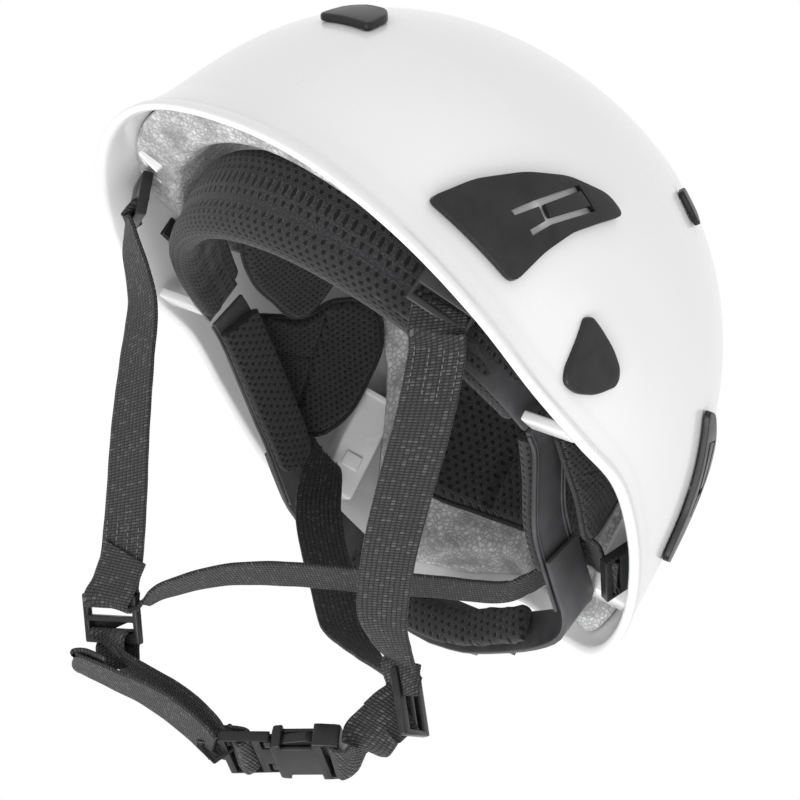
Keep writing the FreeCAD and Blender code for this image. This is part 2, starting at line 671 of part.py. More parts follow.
PRONG = ((male_end - 2.5, 5.6), (male_end + 3.5, 6.0), (male_end + 14.0, 6.4), (male_end + 17.0, 7.6),
         (male_end + 16.2, 9.3), (male_end + 13.5, 10.6), (male_end + 5.5, 9.3), (male_end - 2.5, 9.4))
for side, label in ((1, "front"), (-1, "rear")):
    prong = placed_body("prong_" + label)
    outline = sketch_on(prong, "prong_outline_" + label)
    points = [(p[0], side * p[1]) for p in PRONG]
    draw_polygon(outline, points if side > 0 else points[::-1])
    pad_sketch(prong, outline, "prong_thickness")
    prong.Placement = buckle_place
    keep(prong, "buckle_prong_" + label)

# ------------------------------------------------------------------ adjuster
nape_y = size("nape_y")
nape_z = size("nape_z")


def at_depth(depth):
    """Frame behind the nape: X across, Y back, Z up, moved down from the case's top by depth."""
    return frame(V(0, nape_y, nape_z - depth), (1, 0, 0), (0, 1, 0))


housing_deep = size("housing_depth")
housing = placed_body("adjuster_case")
outline = sketch_on(housing, "case_outline")
draw_rect(outline, size("housing_width"), size("housing_height"), 0, 0, ("housing_width", "housing_height"))
pad_sketch(housing, outline, "housing_depth")
wall = size("housing_wall")
hollow = sketch_on(housing, "case_hollow", "XZ_Plane")
draw_rect(hollow, size("housing_width") - 2 * wall, 5.4, 0, 0.0)
before = housing.Shape.Volume
pocket = housing.newObject("PartDesign::Pocket", "case_hollow_cut")
pocket.Profile = hollow
pocket.Length = size("housing_height") - 2 * wall
pocket.Midplane = True
doc.recompute()
if housing.Shape.Volume >= before:
    raise ValueError("the case is not hollow")
hole = sketch_on(housing, "case_axle_hole")
hole.addGeometry(Part.Circle(V(0, 0, 0), V(0, 0, 1), size("axle_radius") + 0.4), False)
cut_sketch(housing, hole)
housing.Placement = at_depth(housing_deep / 2)
keep(housing, "adjuster_housing")

knob = placed_body("knob_body")
outline = sketch_on(knob, "knob_outline")
outline.addGeometry(Part.Circle(V(0, 0, 0), V(0, 0, 1), size("knob_radius")), False)
outline.addConstraint(Sketcher.Constraint("Coincident", 0, 3, -1, 1))
row = outline.addConstraint(Sketcher.Constraint("Radius", 0, size("knob_radius")))
outline.setExpression("Constraints[%d]" % row, "Sizes.knob_radius")
pad_sketch(knob, outline, "knob_depth")
notch = sketch_on(knob, "knob_notch")
notch.addGeometry(Part.Circle(V(size("knob_radius") + 0.5, 0, 0), V(0, 0, 1), size("knob_notch")), False)
first_notch = cut_sketch(knob, notch)
pattern = knob.newObject("PartDesign::PolarPattern", "knob_notch_pattern")
pattern.Originals = [first_notch]
pattern.Axis = (notch, ["N_Axis"])
pattern.Angle = 360
pattern.Occurrences = int(size("knob_notches"))
knob.Tip = pattern
doc.recompute()
knob.Placement = at_depth(housing_deep + 0.5 + size("knob_depth") / 2)
keep(knob, "adjuster_knob")

# Pinion with a short axle that reaches through the case to the knob.
teeth = 12
profile = []
for i in range(teeth * 4):
    a = 2 * math.pi * (i + 1.5) / (teeth * 4)
    r = size("pinion_radius") + (0.6 if i % 4 < 2 else -1.0)
    profile.append(V(r * math.cos(a), r * math.sin(a), 0))
pinion_deep = size("pinion_depth") - 0.4
profile = [p - V(0, 0, pinion_deep / 2) for p in profile]
wheel = Part.Face(Part.makePolygon(profile + [profile[0]])).extrude(V(0, 0, pinion_deep))
stem_length = housing_deep / 2 + 0.4
stem = Part.makeCylinder(size("axle_radius"), stem_length, V(0, 0, -stem_length))
pinion = wheel.fuse(stem).removeSplitter()
piece = feature("pinion_piece", pinion)
piece.Placement = at_depth(housing_deep / 2)
keep(piece, "adjuster_pinion")

# Two racks, one each side of the pinion.
pitch = size("tooth_pitch")
for side, label in ((1, "left"), (-1, "right")):
    reach = size("pinion_radius") + 0.9
    outer = reach + size("rack_height")
    start = -4.5 * pitch
    count = int(size("rack_length") / pitch)
    points = [(start, outer), (start, reach)]
    for i in range(count):
        x0 = start + (i + 0.25) * pitch
        points += [(x0, reach), (x0 + 0.15 * pitch, reach - 0.9),
                   (x0 + 0.35 * pitch, reach - 0.9), (x0 + 0.5 * pitch, reach)]
    points += [(start + size("rack_length"), reach), (start + size("rack_length"), outer)]
    rack = placed_body("rack_body_" + label)
    outline = sketch_on(rack, "rack_outline_" + label)
    draw_polygon(outline, [(side * p[0], side * p[1]) for p in points])
    pad_sketch(rack, outline, "rack_depth")
    rack.Placement = at_depth(housing_deep / 2)
    keep(rack, "adjuster_rack_" + label)

# --------------------------------------------------------- head pads and hangers
def wall_pad(bearings, heights, inward, thick):
    """Soft pad on the liner: a strip of cross-sections that follows the inner wall."""
    wires = []
    count = 9
    for i in range(count):
        t = 2.0 * i / (count - 1) - 1
        b = math.radians(bearings[0] + (bearings[1] - bearings[0]) * i / (count - 1))
        full = (heights[1] - heights[0]) / 2
        middle = (heights[0] + heights[1]) / 2
        half = full * (0.55 + 0.45 * math.sqrt(max(0.0, 1 - t * t * 0.98)))
        row = []
        for k in range(5):
            h = math.radians(middle - half + half * k / 2)
            row.append(skin(b, h, inward))
        for k in range(4, -1, -1):
            h = math.radians(middle - half + half * k / 2)
            row.append(skin(b, h, inward + thick))
        wires.append(Part.makePolygon(row + [row[0]]))
    solid = Part.makeLoft(wires, True, True)
    if solid.Volume < 0:
        solid.reverse()
    return solid


liner_in = size("shell_wall") + size("foam_gap") + size("foam_thickness")
keep(feature("pad_side_left", wall_pad((89.0, 130.0), (-5.0, 31.0), liner_in + 0.3, 3.4)), "side_pad_left")
keep(feature("pad_side_right", mirror_x(doc.getObject("pad_side_left").Shape)), "side_pad_right")
keep(feature("pad_temple_left", wall_pad((60.0, 107.0), (14.5, 37.0), liner_in + 6.5, 4.5)), "temple_pad_left")
keep(feature("pad_temple_right", mirror_x(doc.getObject("pad_temple_left").Shape)), "temple_pad_right")
keep(feature("pad_rear", wall_pad((142.0, 218.0), (-6.0, 30.0), liner_in + 0.5, 6.0)), "rear_pad")

HANGER_POINT = V(94.5, -10.0, -8.6)
for side, label in ((1, "left"), (-1, "right")):
    aliases = ("hanger_reach", "hanger_width", "hanger_height")
    at = V(side * HANGER_POINT.x, HANGER_POINT.y, HANGER_POINT.z)
    hanger = bound_box("hanger_" + label, aliases, centred(aliases, at))
    keep(hanger, "headband_hanger_" + label)

# -------------------------------------------------------------------- checking
doc.recompute()
problems = []
for obj in doc.Objects:
    if "Invalid" in obj.State or "Error" in obj.State:
        problems.append("%s %s" % (obj.Name, obj.State))
for obj in PARTS:
    shape = obj.Shape
    if shape.isNull() or not shape.isValid() or shape.Volume <= 0 or not shape.Solids:
        problems.append("%s shape is not a valid solid" % obj.Label)
if problems:
    raise SystemExit("\n".join(problems))
os.makedirs("parts", exist_ok=True)
for obj in PARTS:
    obj.Shape.exportStep("parts/%s.step" % obj.Label)
    box = obj.Shape.BoundBox
    print("%-24s %9.0f mm3  %s" % (obj.Label, obj.Shape.Volume,
          [round(v, 1) for v in (box.XMin, box.YMin, box.ZMin, box.XMax, box.YMax, box.ZMax)]))
for where, (root, y) in CLIP_DATA.items():
    print("clip root", where, [round(v, 3) for v in root], [round(v, 4) for v in y])
print("slot", [round(v, 2) for v in plug_centre])
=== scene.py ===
import bpy
import bmesh
import json
import math
import numpy as np
from mathutils import Matrix, Vector


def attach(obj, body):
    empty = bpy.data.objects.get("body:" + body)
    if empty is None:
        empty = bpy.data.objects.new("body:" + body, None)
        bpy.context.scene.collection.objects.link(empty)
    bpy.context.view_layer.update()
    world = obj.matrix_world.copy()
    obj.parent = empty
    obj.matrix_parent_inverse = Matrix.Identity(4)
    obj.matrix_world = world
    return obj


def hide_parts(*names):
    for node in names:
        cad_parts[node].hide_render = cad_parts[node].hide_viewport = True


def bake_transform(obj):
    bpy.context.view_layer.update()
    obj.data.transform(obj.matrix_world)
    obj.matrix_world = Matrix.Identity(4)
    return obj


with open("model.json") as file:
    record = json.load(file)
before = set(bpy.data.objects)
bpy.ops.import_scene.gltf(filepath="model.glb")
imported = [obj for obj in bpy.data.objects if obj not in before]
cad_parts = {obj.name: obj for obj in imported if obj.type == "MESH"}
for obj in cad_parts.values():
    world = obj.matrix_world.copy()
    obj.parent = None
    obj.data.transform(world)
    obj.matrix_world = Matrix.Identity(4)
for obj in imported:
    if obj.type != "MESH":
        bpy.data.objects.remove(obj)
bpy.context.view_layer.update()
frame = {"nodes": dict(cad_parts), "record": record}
NODES = frame["nodes"]
BODY = {n: b for b, ns in frame["record"]["behaviour"]["bodies"].items() for n in ns}
MM = 0.001
STRAP_WIDTH, STRAP_THICK, STRAP_RIPPLE = 20.0, 1.5, 0.12
PAD_FILL, CLOTH_FRAMES = 0.7, 20
scene = bpy.context.scene


# ------------------------------------------------------------------- materials
class Graph:
    """Small helper for building a procedural material."""

    def __init__(self, name):
        self.mat = bpy.data.materials.new(name)
        self.mat.use_nodes = True
        self.tree = self.mat.node_tree
        self.shader = self.tree.nodes["Principled BSDF"]

    def node(self, kind, **props):
        n = self.tree.nodes.new(kind)
        for k, v in props.items():
            setattr(n, k, v)
        return n

    def feed(self, socket, value):
        if isinstance(value, bpy.types.NodeSocket):
            self.tree.links.new(value, socket)
        else:
            socket.default_value = value

    def math(self, op, a, b=None, c=None):
        n = self.node("ShaderNodeMath", operation=op)
        self.feed(n.inputs[0], a)
        if b is not None:
            self.feed(n.inputs[1], b)
        if c is not None:
            self.feed(n.inputs[2], c)
        return n.outputs[0]

    def ramp(self, value, low, high, from_value=0.0, to_value=1.0):
        n = self.node("ShaderNodeMapRange", interpolation_type="SMOOTHSTEP")
        self.feed(n.inputs[0], value)
        for i, v in enumerate((low, high, from_value, to_value)):
            n.inputs[i + 1].default_value = v
        return n.outputs[0]

    def noise(self, vector, scale, detail=3.0, rough=0.55):
        n = self.node("ShaderNodeTexNoise")
        self.feed(n.inputs["Vector"], vector)
        n.inputs["Scale"].default_value = scale
        n.inputs["Detail"].default_value = detail
        n.inputs["Roughness"].default_value = rough
        return n.outputs["Fac"]

    def object_coords(self):
        return self.node("ShaderNodeTexCoord").outputs["Object"]

    def split(self, vector):
        n = self.node("ShaderNodeSeparateXYZ")
        self.feed(n.inputs[0], vector)
        return n.outputs

    def join(self, x, y, z):
        n = self.node("ShaderNodeCombineXYZ")
        for socket, v in zip(n.inputs, (x, y, z)):
            self.feed(socket, v)
        return n.outputs[0]

    def mix(self, fac, a, b):
        n = self.node("ShaderNodeMix", data_type="RGBA")
        self.feed(n.inputs["Factor"], fac)
        for socket, v in ((n.inputs[6], a), (n.inputs[7], b)):
            if isinstance(v, (tuple, list)):
                v = (v[0], v[1], v[2], 1.0)
            self.feed(socket, v)
        return n.outputs[2]

    def bump(self, height, strength, distance, normal=None):
        n = self.node("ShaderNodeBump")
        n.inputs["Strength"].default_value = strength
        n.inputs["Distance"].default_value = distance
        self.feed(n.inputs["Height"], height)
        if normal is not None:
            self.feed(n.inputs["Normal"], normal)
        return n.outputs["Normal"]

    def finish(self, base, rough, normal=None, **constants):
        if isinstance(base, (tuple, list)):
            base = (base[0], base[1], base[2], 1.0)
        self.feed(self.shader.inputs["Base Color"], base)
        self.feed(self.shader.inputs["Roughness"], rough)
        if normal is not None:
            self.feed(self.shader.inputs["Normal"], normal)
        for k, v in constants.items():
            self.shader.inputs[k.replace("_", " ")].default_value = v
        return self.mat


def shell_material():
    g = Graph("shell_gloss_white")
    at = g.object_coords()
    wave = g.noise(at, 45.0, 2.0, 0.4)
    dust = g.ramp(g.noise(at, 300.0, 4.0, 0.7), 0.62, 0.8)
    n = g.bump(wave, 0.25, 0.0004)
    base = g.mix(g.math("MULTIPLY", dust, 0.25), (0.70, 0.70, 0.705), (0.65, 0.65, 0.65))
    rough = g.ramp(g.noise(at, 25.0, 3.0, 0.6), 0.2, 0.8, 0.22, 0.30)
    return g.finish(base, rough, n, Coat_Weight=0.3, Coat_Roughness=0.12, IOR=1.5)


def plastic_material(name, tone, rough_low, rough_high, grain=0.3):
    g = Graph(name)
    at = g.object_coords()
    fine = g.noise(at, 2600.0, 2.0, 0.6)
    soft = g.noise(at, 60.0, 3.0, 0.6)
    n = g.bump(fine, grain, 0.00006)
    base = g.mix(g.ramp(soft, 0.3, 0.75), tone, tuple(c * 1.5 + 0.004 for c in tone))
    return g.finish(base, g.ramp(soft, 0.25, 0.75, rough_low, rough_high), n, IOR=1.45,
                    Specular_IOR_Level=0.32)


def foam_material():
    g = Graph("bead_foam_grey")
    at = g.object_coords()
    cells = g.node("ShaderNodeTexVoronoi", feature="F1")
    g.feed(cells.inputs["Vector"], at)
    cells.inputs["Scale"].default_value = 480.0
    edge = g.node("ShaderNodeTexVoronoi", feature="DISTANCE_TO_EDGE")
    g.feed(edge.inputs["Vector"], at)
    edge.inputs["Scale"].default_value = 480.0
    line = g.ramp(edge.outputs["Distance"], 0.0, 0.22, 0.45, 1.0)
    blotch = g.ramp(g.noise(at, 70.0, 4.0, 0.65), 0.35, 0.7)
    tone = g.node("ShaderNodeSeparateColor")
    g.feed(tone.inputs[0], cells.outputs["Color"])
    beads = g.mix(g.math("MULTIPLY", tone.outputs[0], 0.6), (0.42, 0.42, 0.425), (0.74, 0.74, 0.745))
    base = g.mix(g.math("MULTIPLY", blotch, 0.8), beads, (0.17, 0.17, 0.175))
    base = g.mix(g.math("SUBTRACT", 1.0, line), base, (0.16, 0.16, 0.162))
    n = g.bump(line, 0.6, 0.0005)
    n = g.bump(g.noise(at, 1500.0, 3.0, 0.6), 0.25, 0.0002, n)
    return g.finish(base, 0.78, n)


def mesh_material(name, laid, pitch=3.6, tone=(0.012, 0.012, 0.013)):
    """Spacer mesh with staggered eyelets, laid out by UVs in metres or else flat in X and Z."""
    g = Graph(name)
    if laid:
        u, v, _ = g.split(g.node("ShaderNodeTexCoord").outputs["UV"])
    else:
        u, _, v = g.split(g.object_coords())
    step = pitch * MM
    row = g.math("DIVIDE", v, step * 0.86)
    odd = g.math("MULTIPLY", g.math("FLOOR", g.math("MODULO", g.math("ADD", row, 2000.0), 2.0)), 0.5)
    col = g.math("ADD", g.math("DIVIDE", u, step), odd)
    du = g.math("SUBTRACT", g.math("FRACT", g.math("ADD", col, 1000.0)), 0.5)
    dv = g.math("MULTIPLY", g.math("SUBTRACT", g.math("FRACT", g.math("ADD", row, 1000.0)), 0.5), 0.86)
    dist = g.math("SQRT", g.math("ADD", g.math("MULTIPLY", du, du), g.math("MULTIPLY", dv, dv)))
    hole = g.ramp(dist, 0.17, 0.30)
    fibre = g.noise(g.join(u, g.math("MULTIPLY", v, 2.6), 0.0), 1500.0, 3.0, 0.7)
    knit = g.node("ShaderNodeTexWave", wave_type="BANDS", bands_direction="Y")
    g.feed(knit.inputs["Vector"], g.join(u, v, 0.0))
    knit.inputs["Scale"].default_value = 420.0
    knit.inputs["Distortion"].default_value = 2.0
    light = tuple(c * 4.2 + 0.02 for c in tone)
    yarn = g.mix(g.math("MULTIPLY", g.ramp(fibre, 0.42, 0.72), 0.75), tone, light)
    # painted shade: the eyelet holes are coloured near black, darker than the yarn around them
    base = g.mix(hole, (0.002, 0.002, 0.002), yarn)
    n = g.bump(hole, 0.9, 0.0011)
    n = g.bump(knit.outputs["Fac"], 0.35, 0.0002, n)
    n = g.bump(fibre, 0.35, 0.0003, n)
    return g.finish(base, 0.85, n, Sheen_Weight=0.12, Sheen_Roughness=0.5, Specular_IOR_Level=0.3)


def webbing_material(name, tone, light, heather):
    """Ribbed polyester webbing; U runs along the strap and V across it, both in metres."""
    g = Graph(name)
    uv = g.node("ShaderNodeTexCoord").outputs["UV"]
    u, v, _ = g.split(uv)
    rib = 1.15 * MM
    wale = 1.9 * MM
    column = g.math("DIVIDE", v, wale)
    odd = g.math("MULTIPLY", g.math("FLOOR", g.math("MODULO", g.math("ADD", column, 100.0), 2.0)), 0.5)
    across = g.math("SUBTRACT", g.math("FRACT", g.math("ADD", column, 100.0)), 0.5)
    slope = g.math("MULTIPLY", across, 0.55)
    along = g.math("ADD", g.math("ADD", g.math("DIVIDE", u, rib), odd), slope)
    phase = g.math("SUBTRACT", g.math("FRACT", g.math("ADD", along, 1000.0)), 0.5)
    a = g.math("SUBTRACT", 0.5, g.math("ABSOLUTE", phase))
    b = g.math("SUBTRACT", 0.5, g.math("ABSOLUTE", across))
    hump = g.math("MULTIPLY", g.ramp(a, 0.0, 0.42), g.ramp(b, 0.0, 0.30))
    cell = g.node("ShaderNodeTexWhiteNoise", noise_dimensions="2D")
    g.feed(cell.inputs["Vector"], g.join(g.math("FLOOR", along), g.math("FLOOR", column), 0.0))
    fibre = g.noise(g.join(g.math("MULTIPLY", u, 0.5), g.math("MULTIPLY", v, 3.0), 0.0), 2600.0, 3.0, 0.7)
    pick = g.ramp(cell.outputs["Value"], 1.0 - heather, 1.0)
    yarn = g.mix(g.math("MULTIPLY", g.ramp(fibre, 0.40, 0.75), 0.8), tone, light)
    base = g.mix(g.math("MULTIPLY", pick, 0.7), yarn, light)
    # painted shade: the grooves between the ribs, where the hump falls away, are darkened towards near black
    base = g.mix(g.math("SUBTRACT", 1.0, g.ramp(hump, 0.0, 0.45)), base, (0.004, 0.004, 0.004))
    n = g.bump(hump, 0.9, 0.0005)
    n = g.bump(fibre, 0.3, 0.0002, n)
    return g.finish(base, 0.78, n, Sheen_Weight=0.10, Sheen_Roughness=0.45, Specular_IOR_Level=0.35)


def thread_material():
    g = Graph("sewing_thread")
    at = g.object_coords()
    base = g.mix(g.noise(at, 3000.0, 2.0), (0.03, 0.03, 0.032), (0.12, 0.12, 0.122))
    return g.finish(base, 0.6, g.bump(g.noise(at, 5000.0, 2.0), 0.5, 0.0001))


SHELL = shell_material()
BLACK = plastic_material("satin_black_nylon", (0.010, 0.010, 0.0105), 0.30, 0.42)
ACETAL = plastic_material("buckle_black_acetal", (0.012, 0.012, 0.013), 0.26, 0.38)
BAND = plastic_material("band_dark_grey", (0.042, 0.042, 0.044), 0.30, 0.45)
FOAM = foam_material()
MESH_BACK = mesh_material("spacer_mesh_back", False)
MESH_UV = mesh_material("spacer_mesh_laid", True, 3.4, (0.014, 0.014, 0.015))
WEB = webbing_material("webbing_black", (0.012, 0.012, 0.013), (0.085, 0.085, 0.088), 0.25)
PIPING = webbing_material("edge_binding", (0.014, 0.014, 0.015), (0.06, 0.06, 0.062), 0.1)
THREAD = thread_material()


# --------------------------------------------------------------- mesh building
def add_mesh(name, verts, faces, mat, uvs=None, smooth=True):
    mesh = bpy.data.meshes.new(name)
    mesh.from_pydata([tuple(v) for v in verts], [], [tuple(f) for f in faces])
    mesh.update()
    if uvs is not None:
        layer = mesh.uv_layers.new(name="metres")
        flat = np.array([c for face in uvs for uv in face for c in uv], np.float32)
        layer.data.foreach_set("uv", flat)
    mesh.materials.append(mat)
    if smooth:
        mesh.polygons.foreach_set("use_smooth", [True] * len(mesh.polygons))
    obj = bpy.data.objects.new(name, mesh)
    scene.collection.objects.link(obj)
    return obj


def apply_modifiers(obj):
    dg = bpy.context.evaluated_depsgraph_get()
    made = bpy.data.meshes.new_from_object(obj.evaluated_get(dg), preserve_all_data_layers=True, depsgraph=dg)
    obj.modifiers.clear()
    obj.data = made
    return obj


def bevel(obj, width, segments=3, angle=32):
    mod = obj.modifiers.new("edge", "BEVEL")
    mod.width = width
    mod.segments = segments
    mod.limit_method = "ANGLE"
    mod.angle_limit = math.radians(angle)
    return obj


def smooth_by_angle(obj, degrees=35):
    bm = bmesh.new()
    bm.from_mesh(obj.data)
    limit = math.radians(degrees)
    for e in bm.edges:
        e.smooth = not (len(e.link_faces) == 2 and e.calc_face_angle(0.0) > limit)
    for f in bm.faces:
        f.smooth = True
    bm.to_mesh(obj.data)
    bm.free()


def face_out(obj):
    """Turn every face outward."""
    bm = bmesh.new()
    bm.from_mesh(obj.data)
    bmesh.ops.recalc_face_normals(bm, faces=bm.faces)
    bm.to_mesh(obj.data)
    bm.free()


def dressed(node, name, mat, width):
    """A finished copy of a CAD node: welded, with rounded edges and its own material."""
    mesh = NODES[node].data.copy()
    mesh.materials.clear()
    mesh.materials.append(mat)
    obj = bpy.data.objects.new(name, mesh)
    scene.collection.objects.link(obj)
    bm = bmesh.new()
    bm.from_mesh(mesh)
    bmesh.ops.remove_doubles(bm, verts=bm.verts, dist=1e-5)
    bmesh.ops.dissolve_limit(bm, angle_limit=math.radians(1.0), verts=bm.verts, edges=bm.edges)
    bm.to_mesh(mesh)
    bm.free()
    bevel(obj, width * MM)
    apply_modifiers(obj)
    smooth_by_angle(obj, 40)
    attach(obj, BODY[node])
    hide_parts(node)
    return obj


# ---------------------------------------------------------------- helmet form
RIM_ANGLES = np.radians((12.1, 11.7, 9.4, 5.7, 1.4, -1.0, -2.5, -8.2, -14.5, -19.0, -20.9, -18.6, -14.5))
FOAM_ANGLES = np.radians((16.5, 15.5, 14.0, 13.0, 14.0, 18.0, 24.0, 27.5, 25.5, 16.0, -15.0, -15.5, -11.0))
HALF_WIDTH, FRONT, BACK, HEIGHT, POWER = 111.5, 149.2, 138.0, 140.0, 2.25
CENTRE_Y, CENTRE_Z, WALL = 19.1, -10.0, 3.0
LIP_FLARE, LIP_FADE = 13.4, 0.12


def along_table(table, bearing):
    pos = np.abs(np.degrees(bearing)) / 15.0
    i = np.minimum(pos.astype(int), 11)
    f = pos - i
    a = np.where(i > 0, table[np.maximum(i - 1, 0)], table[1])
    b = table[i]
    c = table[i + 1]
    d = np.where(i + 2 <= 12, table[np.minimum(i + 2, 12)], table[11])
    return b + 0.5 * f * (c - a + f * (2 * a - 5 * b + 4 * c - d + f * (3 * (b - c) + d - a)))


def bump_at(bearing, height, b0, h0, wide, high, power=2.0):
    """Soft plateau round a point, on both sides of the helmet; angles in degrees."""
    db = (np.abs(np.degrees(bearing)) - b0) / wide
    dh = (np.degrees(height) - h0) / high
    r = np.sqrt(db * db + dh * dh)
    return 1.0 / (1.0 + np.maximum(r, 1e-6) ** (power * 4))


def relief(bearing, height):
    """Moulded relief of the outer skin, in mm outward."""
    out = 1.1 * bump_at(bearing, height, 69.0, 13.0, 17.0, 11.5, 1.6)
    deg = np.abs(np.degrees(bearing))
    crown = np.exp(-((deg - 95.0) / 3.0) ** 2) * np.exp(-((np.degrees(height) - 62.0) / 9.0) ** 2)
    return out - 0.5 * crown


def skin(bearing, height, inward=0.0, detail=False):
    bearing, height = np.broadcast_arrays(np.asarray(bearing, float), np.asarray(height, float))
    dx = np.cos(height) * np.sin(bearing)
    dy = -np.cos(height) * np.cos(bearing)
    dz = np.sin(height)
    reach = np.where(dy < 0, FRONT, BACK)
    up = np.where(dz < 0, HEIGHT * 1.35, HEIGHT)
    r = (np.hypot(dx / HALF_WIDTH, dy / reach) ** POWER + np.abs(dz / up) ** POWER) ** (-1.0 / POWER)
    above = np.maximum(height - along_table(RIM_ANGLES, bearing), 0.0)
    r = r + LIP_FLARE * np.maximum(np.cos(bearing), 0.0) ** 1.5 * np.exp(-above / LIP_FADE) - inward
    if detail:
        r = r + relief(bearing, height)
    return np.stack([r * dx, CENTRE_Y + r * dy, CENTRE_Z + r * dz], -1) * MM


def normal_at(bearing, height):
    e = 0.01
    du = skin(bearing + e, height) - skin(bearing - e, height)
    dv = skin(bearing, height + e) - skin(bearing, height - e)
    n = np.cross(du, dv)
    return Vector(n / np.linalg.norm(n))


def dome_mesh(name, table, profile, mat, around=360, detail=False):
    """Closed wall swept round the form. profile: (rim distance in mm or None, share to the crown, inward mm)."""
    bearings = np.linspace(-math.pi, math.pi, around, endpoint=False)
    low = along_table(table, bearings)
    verts = []
    for mm_up, share, inward in profile:
        height = low + mm_up / 125.0 + (math.pi / 2 - low - mm_up / 125.0) * share
        verts.append(skin(bearings, height, inward, detail and inward < 2.0))
    rows = len(profile)
    points = np.concatenate(verts)
    faces = []
    for j in range(rows - 1):
        for i in range(around):
            k = (i + 1) % around
            faces.append((j * around + i, j * around + k, (j + 1) * around + k, (j + 1) * around + i))
    faces.append(tuple((rows - 1) * around + i for i in range(around)))
    faces.append(tuple(i for i in reversed(range(around))))
    obj = add_mesh(name, points, faces, mat)
    face_out(obj)
    return obj


def shell_profile():
    """From the inner crown down the inside, round the rim bead and up the outside."""
    rows = [(0.0, s, WALL) for s in np.linspace(0.985, 0.04, 60)]
    rows += [(d, 0.0, WALL) for d in (5.0, 3.6, 2.4, 1.6)]
    centre_in = 0.9
    for t in np.linspace(0, math.pi, 13):
        rows.append((1.6 - 2.1 * math.sin(t), 0.0, centre_in + 2.1 * math.cos(t)))
    for d in (2.4, 3.0, 3.5, 4.0, 4.5, 5.0, 5.6, 6.4, 7.4, 8.6, 10.0, 11.5, 13.0):
        lip = -1.2 * math.exp(-((d - 1.6) / 1.9) ** 2) + 0.45 * math.exp(-((d - 4.6) / 0.5) ** 2)
        step = -0.35 / (1 + math.exp((d - 11.0) / 0.6))
        rows.append((d, 0.0, lip + step))
    rows += [(13.0, s, 0.0) for s in np.linspace(0.012, 0.985, 110)]
    return rows


def make_shell():
    obj = dome_mesh("shell_moulding", RIM_ANGLES, shell_profile(), SHELL, 400, True)
    for side in (-1, 1):
        at = Vector(skin(math.radians(69.0) * side, math.radians(11.5)))
        bpy.ops.mesh.primitive_cube_add(size=1.0, location=at)
        cutter = bpy.context.object
        cutter.scale = (0.024, 0.020, 0.008)
        mod = obj.modifiers.new("slot", "BOOLEAN")
        mod.operation = "DIFFERENCE"
        mod.object = cutter
        mod.solver = "EXACT"
        bpy.context.view_layer.update()
        apply_modifiers(obj)
        bpy.data.objects.remove(cutter)
    smooth_by_angle(obj, 50)
    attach(obj, "helmet")
    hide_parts("shell")
    return obj


def block(name, centre, axes, half, mat, edge=1.2):
    """Rounded box from a centre, three directions and half sizes in mm."""
    x, y, z = axes
    verts, faces = [], [(0, 1, 3, 2), (4, 6, 7, 5), (0, 4, 5, 1), (2, 3, 7, 6), (0, 2, 6, 4), (1, 5, 7, 3)]
    for a in (-1, 1):
        for b in (-1, 1):
            for c in (-1, 1):
                verts.append((centre + x * a * half[0] + y * b * half[1] + z * c * half[2]) * MM)
    obj = add_mesh(name, verts, faces, mat)
    face_out(obj)
    bevel(obj, edge * MM, 3)
    apply_modifiers(obj)
    smooth_by_angle(obj, 40)
    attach(obj, "helmet")
    return obj


def wall_axes(bearing, height):
    """Directions along the wall, up the wall and inward at a bearing and height in degrees."""
    b, h = math.radians(bearing), math.radians(height)
    inward = -np.array(normal_at(b, h))
    up = np.array((0.0, 0.0, 1.0)) - inward * inward[2]
    up /= np.linalg.norm(up)
    return np.cross(up, inward), up, inward


def make_fittings():
    """Pockets and strap sockets moulded on the shell's inner wall."""
    for word, sign in (("left", 1), ("right", -1)):
        axes = wall_axes(sign * 137.5, -4.0)
        at = skin(math.radians(sign * 137.5), math.radians(-4.0), 13.0) / MM
        block("pocket_" + word, at, axes, (8.0, 23.0, 8.5), SHELL, 1.6)
        block("pocket_lip_" + word, at + axes[2] * 8.6 - axes[1] * 8.0, axes, (4.0, 3.2, 1.0), SHELL, 0.6)
        block("pocket_rib_" + word, at + axes[2] * 8.4 + axes[1] * 21.5, axes, (8.4, 1.2, 1.2), SHELL, 0.5)
        axes = wall_axes(sign * 36.0, 17.0)
        at = skin(math.radians(sign * 36.0), math.radians(17.0), 8.0) / MM
        block("socket_base_" + word, at, axes, (8.5, 8.5, 2.0), SHELL, 0.9)
        for k in (-1, 1):
            block("socket_jaw_%s_%s" % (word, "a" if k < 0 else "b"), at + axes[0] * k * 7.2 + axes[2] * 4.0, axes,
                  (1.4, 8.5, 4.4), SHELL, 0.7)
            block("socket_hook_%s_%s" % (word, "a" if k < 0 else "b"),
                  at + axes[0] * k * 5.2 + axes[2] * 7.8, axes, (2.6, 4.0, 1.1), SHELL, 0.5)


def make_foam():
    inner = 25.0
    rows = [(0.0, s, inner) for s in np.linspace(0.985, 0.04, 40)]
    for t in np.linspace(0, math.pi / 2, 6):
        rows.append((3.0 - 3.0 * math.sin(t), 0.0, inner - 3.0 + 3.0 * math.cos(t)))
    for t in np.linspace(0, math.pi / 2, 4):
        rows.append((1.5 - 1.5 * math.cos(t), 0.0, 5.0 - 1.5 * math.sin(t)))
    rows += [(0.0, s, 3.5) for s in np.linspace(0.04, 0.985, 30)]
    obj = dome_mesh("foam_cap", FOAM_ANGLES, rows, FOAM, 200)
    smooth_by_angle(obj, 50)
    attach(obj, "helmet")
    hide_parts("foam_liner")


